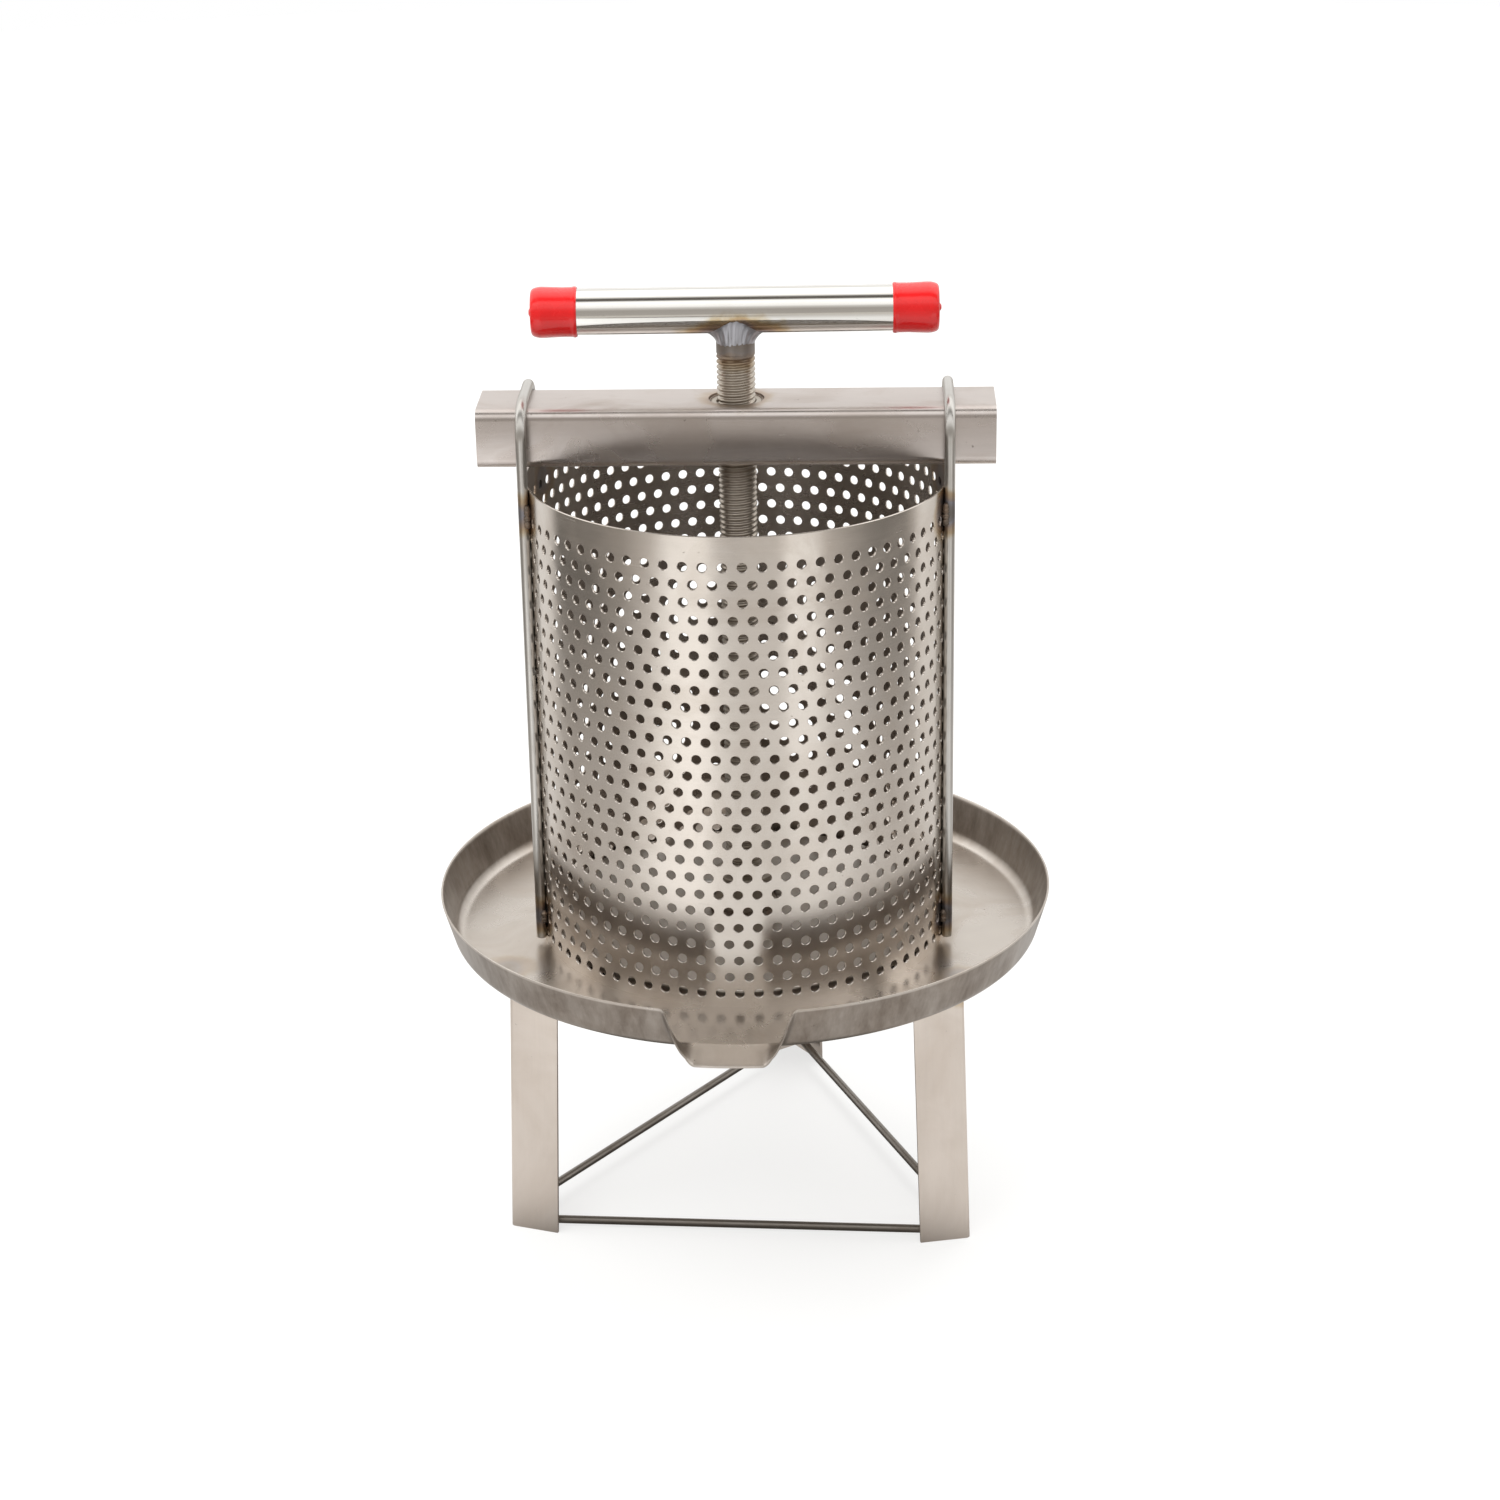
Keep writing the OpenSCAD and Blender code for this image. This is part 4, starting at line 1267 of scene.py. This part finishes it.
class HONEYPRESS_OT_handle(PressOperator, bpy.types.Operator):
    """Polished tube handle, welded on the screw's top, with a vinyl cap on each end"""

    bl_idname = "honeypress.handle"
    bl_label = "Handle and Caps"

    def weld(self):
        """Fillet between two cylinders: its upper edge lies on the tube and its lower edge on the screw. From
        one to the other it closes in by 1 - (1 - s)^2.1 and drops by s^1.15, with ripples round it."""
        s = self.sizes
        turn = whole_turn(160)[None, :]
        share = np.linspace(0, 1, 15)[:, None]
        wide, deep = 13.2 * MM, 10.3 * MM
        x, y = wide * np.sin(turn), -deep * np.cos(turn)
        tube_z = s.handle_z - np.sqrt(np.clip(s.handle_r**2 - y**2, 0, None))
        top = np.stack([x, y, tube_z + 0.1 * MM], -1)
        foot_z = s.handle_z - s.handle_r - 4.6 * MM + 0.4 * MM * np.sin(3 * turn)
        foot = cylinder_points(turn, foot_z, s.screw_r - 0.05 * MM)
        # the fillet narrows early and drops late, so that it is hollow like a funnel
        inwards = (1 - (1 - share) ** 2.1)[..., None] * np.array([1, 1, 0])
        downwards = (share**1.15)[..., None] * np.array([0, 0, 1])
        ease = inwards + downwards
        body = top * (1 - ease) + foot * ease
        outwards = cylinder_points(turn, 0.0, 1.0) * np.array([1, 1, 0])
        ripple = 0.13 * MM * np.sin(turn * 22 + 1.5 * np.sin(2 * turn) + 2.2 * share)
        swell = (0.22 * MM + ripple) * np.sin(math.pi * share)
        rings = body + swell[..., None] * outwards
        inside_z = np.array([0, 0, 1.0])
        return skin(rings, s.handle_z * inside_z, (s.handle_z - s.handle_r - 2 * MM) * inside_z)

    def cap(self, side, nub):
        """Dipped cap: a thin mouth with a rolled lip, a side that swells towards a soft end, and a drip nub.
        Its side also sags in and out by a tenth of a millimetre, as a sine round it and along it."""
        s = self.sizes
        box = s.box["handle_cap_right"]
        end = s.handle_half
        mouth = end - self.settings.screw.cap_l
        outer = (box[1].z - box[0].z) / 2
        bore = s.handle_r + 0.02 * MM
        waist = (outer - 0.45 * MM, mouth + 7 * MM)
        drip = [(0, end), (nub * 0.55, end), (nub, end - 0.9 * MM)]
        shoulder = [(outer - 1.1 * MM, end - 1.25 * MM), (outer, end - 5 * MM)]
        outside = rounded([*drip, *shoulder, waist], 3.4 * MM, 7)
        roll = [(outer - 0.40 * MM, mouth + 2.4 * MM), (outer, mouth + 1.1 * MM), (outer - 0.5 * MM, mouth)]
        lip = rounded([waist, *roll, (bore, mouth)], 0.8 * MM)
        inside = [(bore, mouth + 1 * MM), (bore, end - 2.6 * MM), (0, end - 2.6 * MM)]
        points, faces = lathe(np.vstack([outside, lip[1:], inside]), 72, "x", (0, 0, s.handle_z))
        across, up = points[:, 1], points[:, 2] - s.handle_z
        around = np.arctan2(across, up)
        along = np.clip((points[:, 0] - mouth) / (end - mouth), 0, 1)
        sag = 0.10 * MM * np.sin(3 * around + side) * np.sin(math.pi * along)
        on_outside = np.hypot(across, up) > bore + 0.1 * MM
        points[:, 1] -= (np.sin(around) * sag) * on_outside
        points[:, 0] *= side
        return points, outward(points, faces)

    def execute(self, context):
        s, finish, given = self.sizes, self.settings.finish, self.settings.screw
        inner, end, turn = s.handle_r - 1.5 * MM, s.handle_half - given.cap_end, given.handle_turn
        ring = [(inner, -end), (s.handle_r, -end), (s.handle_r, end), (inner, end), (inner, -end)]
        profile = rounded(ring, 0.5 * MM)[:-1]
        tube = lathe(profile, 128, "x", (0, 0, s.handle_z))

        def from_joint(t, place):
            """Distance from the weld's middle, counted about twice as far upwards as along the tube."""
            moved = t.vector("SUBTRACT", place, (0, 0, s.handle_z - s.handle_r))
            return t.vector("LENGTH", t.vector("MULTIPLY", moved, (0.82, 0.8, 1.9)))

        polished = self.finishes.steel(
            "handle tube",
            tuple(finish.tube),
            rough=0.08,
            stretch=(40, 700, 700),
            depth=0.012,
            amount=0.2,
            heat=(from_joint, 0.026, 0.9),
            contrast=0.03,
        )
        make_piece("handle_tube", [turned(tube, turn)], "spindle", ["handle_bar"], polished)
        # this weld is pale blue-grey and has no scale, unlike the others
        brushed = self.finishes.steel(
            "brushed weld", (0.40, 0.40, 0.43), rough=0.28, stretch=(90, 90, 300), depth=0.25, amount=0.5
        )
        fillet, smooth = turned(self.weld(), turn), math.radians(60)
        make_piece("handle_fillet", [fillet], "spindle", ["handle_weld"], brushed, smooth)
        for side, name, nub in ((-1, "handle_cap_left", 2.4 * MM), (1, "handle_cap_right", 2.0 * MM)):
            cap, smooth = turned(self.cap(side, nub), turn), math.radians(50)
            make_piece(name, [cap], "spindle", [name], self.finishes.vinyl(), smooth)
        return {"FINISHED"}


class HONEYPRESS_OT_plate(PressOperator, bpy.types.Operator):
    """Press plate on the screw's foot, with its socket and two keeper screws"""

    bl_idname = "honeypress.plate"
    bl_label = "Press Plate"

    def keeper(self, side):
        """Socket-headed screw: the shank and head are turned, and the hexagon in the head is a ring whose
        radius is the flat's distance over the cosine of the angle from the flat's middle."""
        s = self.sizes
        low, high = s.box["keeper_screws"]
        socket_r = s.box["plate_socket"][1].x
        tip, end = 7.0 * MM, high.x
        head, shank, flat = (high.z - low.z) / 2, 2.5 * MM, 2.1 * MM
        turn = whole_turn(48)[None, :]
        shaft = [(shank - 0.5 * MM, tip), (shank, tip + 0.5 * MM), (shank, socket_r)]
        profile = rounded([*shaft, (head, socket_r), (head, end), (flat * 1.25, end)], 0.5 * MM)
        rings = cylinder_points(turn, profile[:, 1, None], profile[:, 0, None])
        hexagon = flat / np.cos((turn + math.pi / 6) % (math.pi / 3) - math.pi / 6)
        recess = cylinder_points(turn, np.array([[end - 0.1 * MM], [end - 2.5 * MM]]), hexagon)
        rings = np.concatenate([rings, recess])
        points, faces = skin(rings, np.array([0, 0, tip]), np.array([0, 0, end - 2.5 * MM]))
        points = points[:, [2, 0, 1]] * [side, 1, 1] + [0, 0, (low.z + high.z) / 2]
        return points, outward(points, faces)

    def execute(self, context):
        s = self.sizes
        low, high = s.box["press_plate"]
        corners = [(0, low.z), (high.x, low.z), (high.x, high.z), (0, high.z)]
        plate = lathe(rounded(corners, 1.2 * MM), 160)
        make_piece("press_plate", [plate], "press", ["press_plate"], self.finishes.plate())

        low, high = s.box["plate_socket"]
        bore = s.screw_r + 0.06 * MM
        ring = [(bore, low.z), (high.x, low.z), (high.x, high.z), (bore, high.z), (bore, low.z)]
        socket = lathe(rounded(ring, 0.8 * MM)[:-1], 72)
        make_piece("plate_socket", [socket], "press", ["plate_socket"], self.finishes.machined())

        fillet_r, fillet_z = high.x + 0.7 * MM, low.z + 0.9 * MM
        bead = weld_ring(fillet_r, fillet_z, 1.9 * MM, 2.0 * MM)
        make_piece("socket_bead", [bead], "press", ["socket_weld"], self.finishes.weld())
        base = tuple(self.settings.finish.rod)
        drawn = self.finishes.steel(
            "keeper steel", base, rough=0.30, stretch=(400, 400, 400), depth=0.05, amount=0.5
        )
        keepers = [self.keeper(side) for side in (-1, 1)]
        make_piece("keeper_screws", keepers, "press", ["keeper_screws"], drawn)
        return {"FINISHED"}


class HONEYPRESS_OT_stage(PressOperator, bpy.types.Operator):
    """Pale floor, soft studio light and the camera"""

    bl_idname = "honeypress.stage"
    bl_label = "Stage"

    def floor(self, radius):
        """Round floor: rings of points about the origin, closed at its middle. The camera sees it plain and
        pale. Every other ray, and so what the steel mirrors, meets a pattern of light and dark instead, by
        distance from the middle and by angle round it."""
        turn = whole_turn(96)[None, :]
        r = np.array([[0.3], [1.0], [radius]])
        rings = cylinder_points(turn, 0.0, r).reshape(-1, 3)
        number = np.arange(288).reshape(3, 96)
        points = np.vstack([rings, [[0, 0, 0]]])
        middle = np.stack([number[0], np.roll(number[0], -1), np.full(96, 288)], -1)
        faces = np.vstack([strip(number[k + 1], number[k]) for k in (0, 1)])
        mesh = bpy.data.meshes.new("floor")
        mesh.from_pydata(points.tolist(), [], faces.tolist() + middle[:, [2, 0, 1]].tolist())
        floor = bpy.data.objects.new("floor", mesh)
        bpy.context.scene.collection.objects.link(floor)
        material = bpy.data.materials.new("pale floor")
        material.use_nodes = True
        t = Tree(material.node_tree)
        surface = material.node_tree.nodes["Principled BSDF"]
        place = t.node("TexCoord").outputs["Object"]
        tone = t.mix(t.noise(place, 6.0), (0.90, 0.90, 0.895), (0.93, 0.93, 0.925))
        t.put(surface.inputs["Base Color"], tone)
        surface.inputs["Roughness"].default_value = 0.85
        surface.inputs["Specular IOR Level"].default_value = 0.2
        # painted shadow under the press, even light close round it, then cards and gaps by the angle round it
        parts = t.node("SeparateXYZ", {0: place}).outputs
        turn = t.math("ARCTAN2", parts["X"], t.math("MULTIPLY", parts["Y"], -1.0))
        turn = t.remap(turn, -math.pi, math.pi)
        far = t.vector("LENGTH", place)
        near_cards = self.cards(t, turn, NEAR_CARDS)
        far_cards = self.cards(t, turn, FAR_CARDS)
        under = t.mix(t.remap(far, 0.105, 0.165), (0.16, 0.145, 0.13), (0.93, 0.91, 0.885))
        shade = t.mix(t.remap(far, 0.28, 0.55), under, near_cards)
        shade = t.mix(t.remap(far, 0.62, 1.12), shade, far_cards)
        # a dark patch further out in front, where the crossbeam's front mirrors the floor
        aside = t.math("ABSOLUTE", t.math("SUBTRACT", turn, 0.5 - 3.5 / 360))
        patch = t.math("MULTIPLY", t.remap(aside, 5 / 360, 9.5 / 360, 0.9, 0.0), t.remap(far, 1.22, 1.30))
        shade = t.mix(patch, shade, (0.12, 0.105, 0.09))
        shade = t.mix(t.remap(far, 1.45, 1.6), shade, (0.66, 0.62, 0.57))
        glow = t.node("Emission", {"Color": shade})
        # plain light added to the lit surface, so that the shadow stays faint
        lit = t.node("Emission", {"Color": (0.985, 0.985, 0.98, 1)})
        pale = t.node("MixShader", {0: 0.72, 1: surface.outputs[0], 2: lit.outputs[0]})
        seen = t.node("LightPath").outputs["Is Camera Ray"]
        both = t.node("MixShader", {0: seen, 1: glow.outputs[0], 2: pale.outputs[0]})
        t.put(material.node_tree.nodes["Material Output"].inputs["Surface"], both.outputs[0])
        mesh.materials.append(material)

    def cards(self, t, turn, stops):
        """Ramp from (degrees round from the spout, brightness), darker stops warmer than bright ones."""
        line = []
        for degrees, bright in stops:
            warm = min(1.0, bright)
            light = (bright, bright * (0.89 + 0.10 * warm), bright * (0.77 + 0.20 * warm))
            line.append(((degrees + 180) / 360, light))
        return t.ramp(turn, line)

    def room(self):
        """Studio above the floor: bands of brightness from the front horizon over the top to the back one,
        by the angle atan2(z, -y). The camera sees plain white."""
        world = bpy.data.worlds.new("studio")
        bpy.context.scene.world = world
        world.use_nodes = True
        t = Tree(world.node_tree)
        sky = t.node("TexCoord").outputs["Generated"]
        parts = t.node("SeparateXYZ", {0: sky}).outputs
        over = t.math("ARCTAN2", parts["Z"], t.math("MULTIPLY", parts["Y"], -1.0))
        over = t.remap(over, -math.pi, math.pi)
        bands = self.cards(t, over, SKY_BANDS)
        seen = t.node("LightPath").outputs["Is Camera Ray"]
        shade = t.mix(seen, bands, (1.0, 1.0, 1.0))
        t.put(world.node_tree.nodes["Background"].inputs["Color"], shade)

    def lamp(self, name, place, target, size, power):
        """Square-on area lamp that lights the floor and the vinyl and shows in no mirror."""
        data = bpy.data.lights.new(name, "AREA")
        data.shape = "RECTANGLE"
        data.size, data.size_y = size
        data.energy = power
        lamp = bpy.data.objects.new(name, data)
        lamp.location = place
        lamp.rotation_euler = (Vector(target) - Vector(place)).to_track_quat("-Z", "Y").to_euler()
        lamp.visible_glossy = False
        bpy.context.scene.collection.objects.link(lamp)

    def camera(self):
        """Camera at the eye, turned from straight back, tipped down and rolled."""
        given = self.settings.stage
        turn, down, roll = given.heading, given.pitch, given.roll
        level = Vector((-math.sin(turn), math.cos(turn), 0))
        right = Vector((math.cos(turn), math.sin(turn), 0))
        view = level * math.cos(down) - Vector((0, 0, math.sin(down)))
        up = level * math.sin(down) + Vector((0, 0, math.cos(down)))
        tilted_right = right * math.cos(roll) + up * math.sin(roll)
        tilted_up = up * math.cos(roll) - right * math.sin(roll)
        data = bpy.data.cameras.new("camera")
        data.sensor_width = 36
        data.lens = given.lens
        data.clip_start, data.clip_end = 0.05, 50
        camera = bpy.data.objects.new("camera", data)
        axes = Matrix((tilted_right, tilted_up, -view)).transposed().to_4x4()
        camera.matrix_world = Matrix.Translation(given.eye) @ axes
        bpy.context.scene.collection.objects.link(camera)
        bpy.context.scene.camera = camera

    def execute(self, context):
        self.floor(self.settings.stage.floor_r)
        self.room()
        self.lamp("key", (-0.9, -0.9, 2.2), (0, 0, 0.15), (1.6, 1.6), 34)
        self.lamp("rear", (0.3, 2.0, 2.6), (0, 0.8, 0.0), (2.6, 2.0), 60)
        self.camera()
        bpy.context.scene.view_settings.view_transform = "Standard"
        return {"FINISHED"}


PIECES = (
    HONEYPRESS_OT_tray,
    HONEYPRESS_OT_legs,
    HONEYPRESS_OT_tie_rods,
    HONEYPRESS_OT_basket,
    HONEYPRESS_OT_loops,
    HONEYPRESS_OT_crossbeam,
    HONEYPRESS_OT_screw,
    HONEYPRESS_OT_handle,
    HONEYPRESS_OT_plate,
    HONEYPRESS_OT_stage,
)


class HONEYPRESS_PT_panel(bpy.types.Panel):
    """Lists the press's operators and settings"""

    bl_idname = "HONEYPRESS_PT_panel"
    bl_label = "Honey Press"
    bl_space_type = "VIEW_3D"
    bl_region_type = "UI"
    bl_category = "Honey Press"

    def draw(self, context):
        layout = self.layout
        for piece in PIECES:
            layout.operator(piece.bl_idname)
        settings = context.scene.honey_press
        for part in ("basket", "tray", "leg", "screw", "beam", "finish", "stage"):
            box = layout.box()
            box.label(text=part.title())
            given = getattr(settings, part)
            for name in given.__annotations__:
                box.prop(given, name)


SETTINGS = (
    BasketSettings,
    TraySettings,
    LegSettings,
    ScrewSettings,
    BeamSettings,
    FinishSettings,
    StageSettings,
    PressSettings,
)


def register():
    for made in (*SETTINGS, *PIECES, HONEYPRESS_PT_panel):
        bpy.utils.register_class(made)
    bpy.types.Scene.honey_press = bpy.props.PointerProperty(type=PressSettings)


def unregister():
    del bpy.types.Scene.honey_press
    for made in reversed((*SETTINGS, *PIECES, HONEYPRESS_PT_panel)):
        bpy.utils.unregister_class(made)


def main():
    """Registers the classes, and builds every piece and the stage."""
    register()
    bpy.ops.honeypress.tray()
    bpy.ops.honeypress.legs()
    bpy.ops.honeypress.tie_rods()
    bpy.ops.honeypress.basket()
    bpy.ops.honeypress.loops()
    bpy.ops.honeypress.crossbeam()
    bpy.ops.honeypress.screw()
    bpy.ops.honeypress.handle()
    bpy.ops.honeypress.plate()
    bpy.ops.honeypress.stage()


if __name__ == "__main__":
    main()
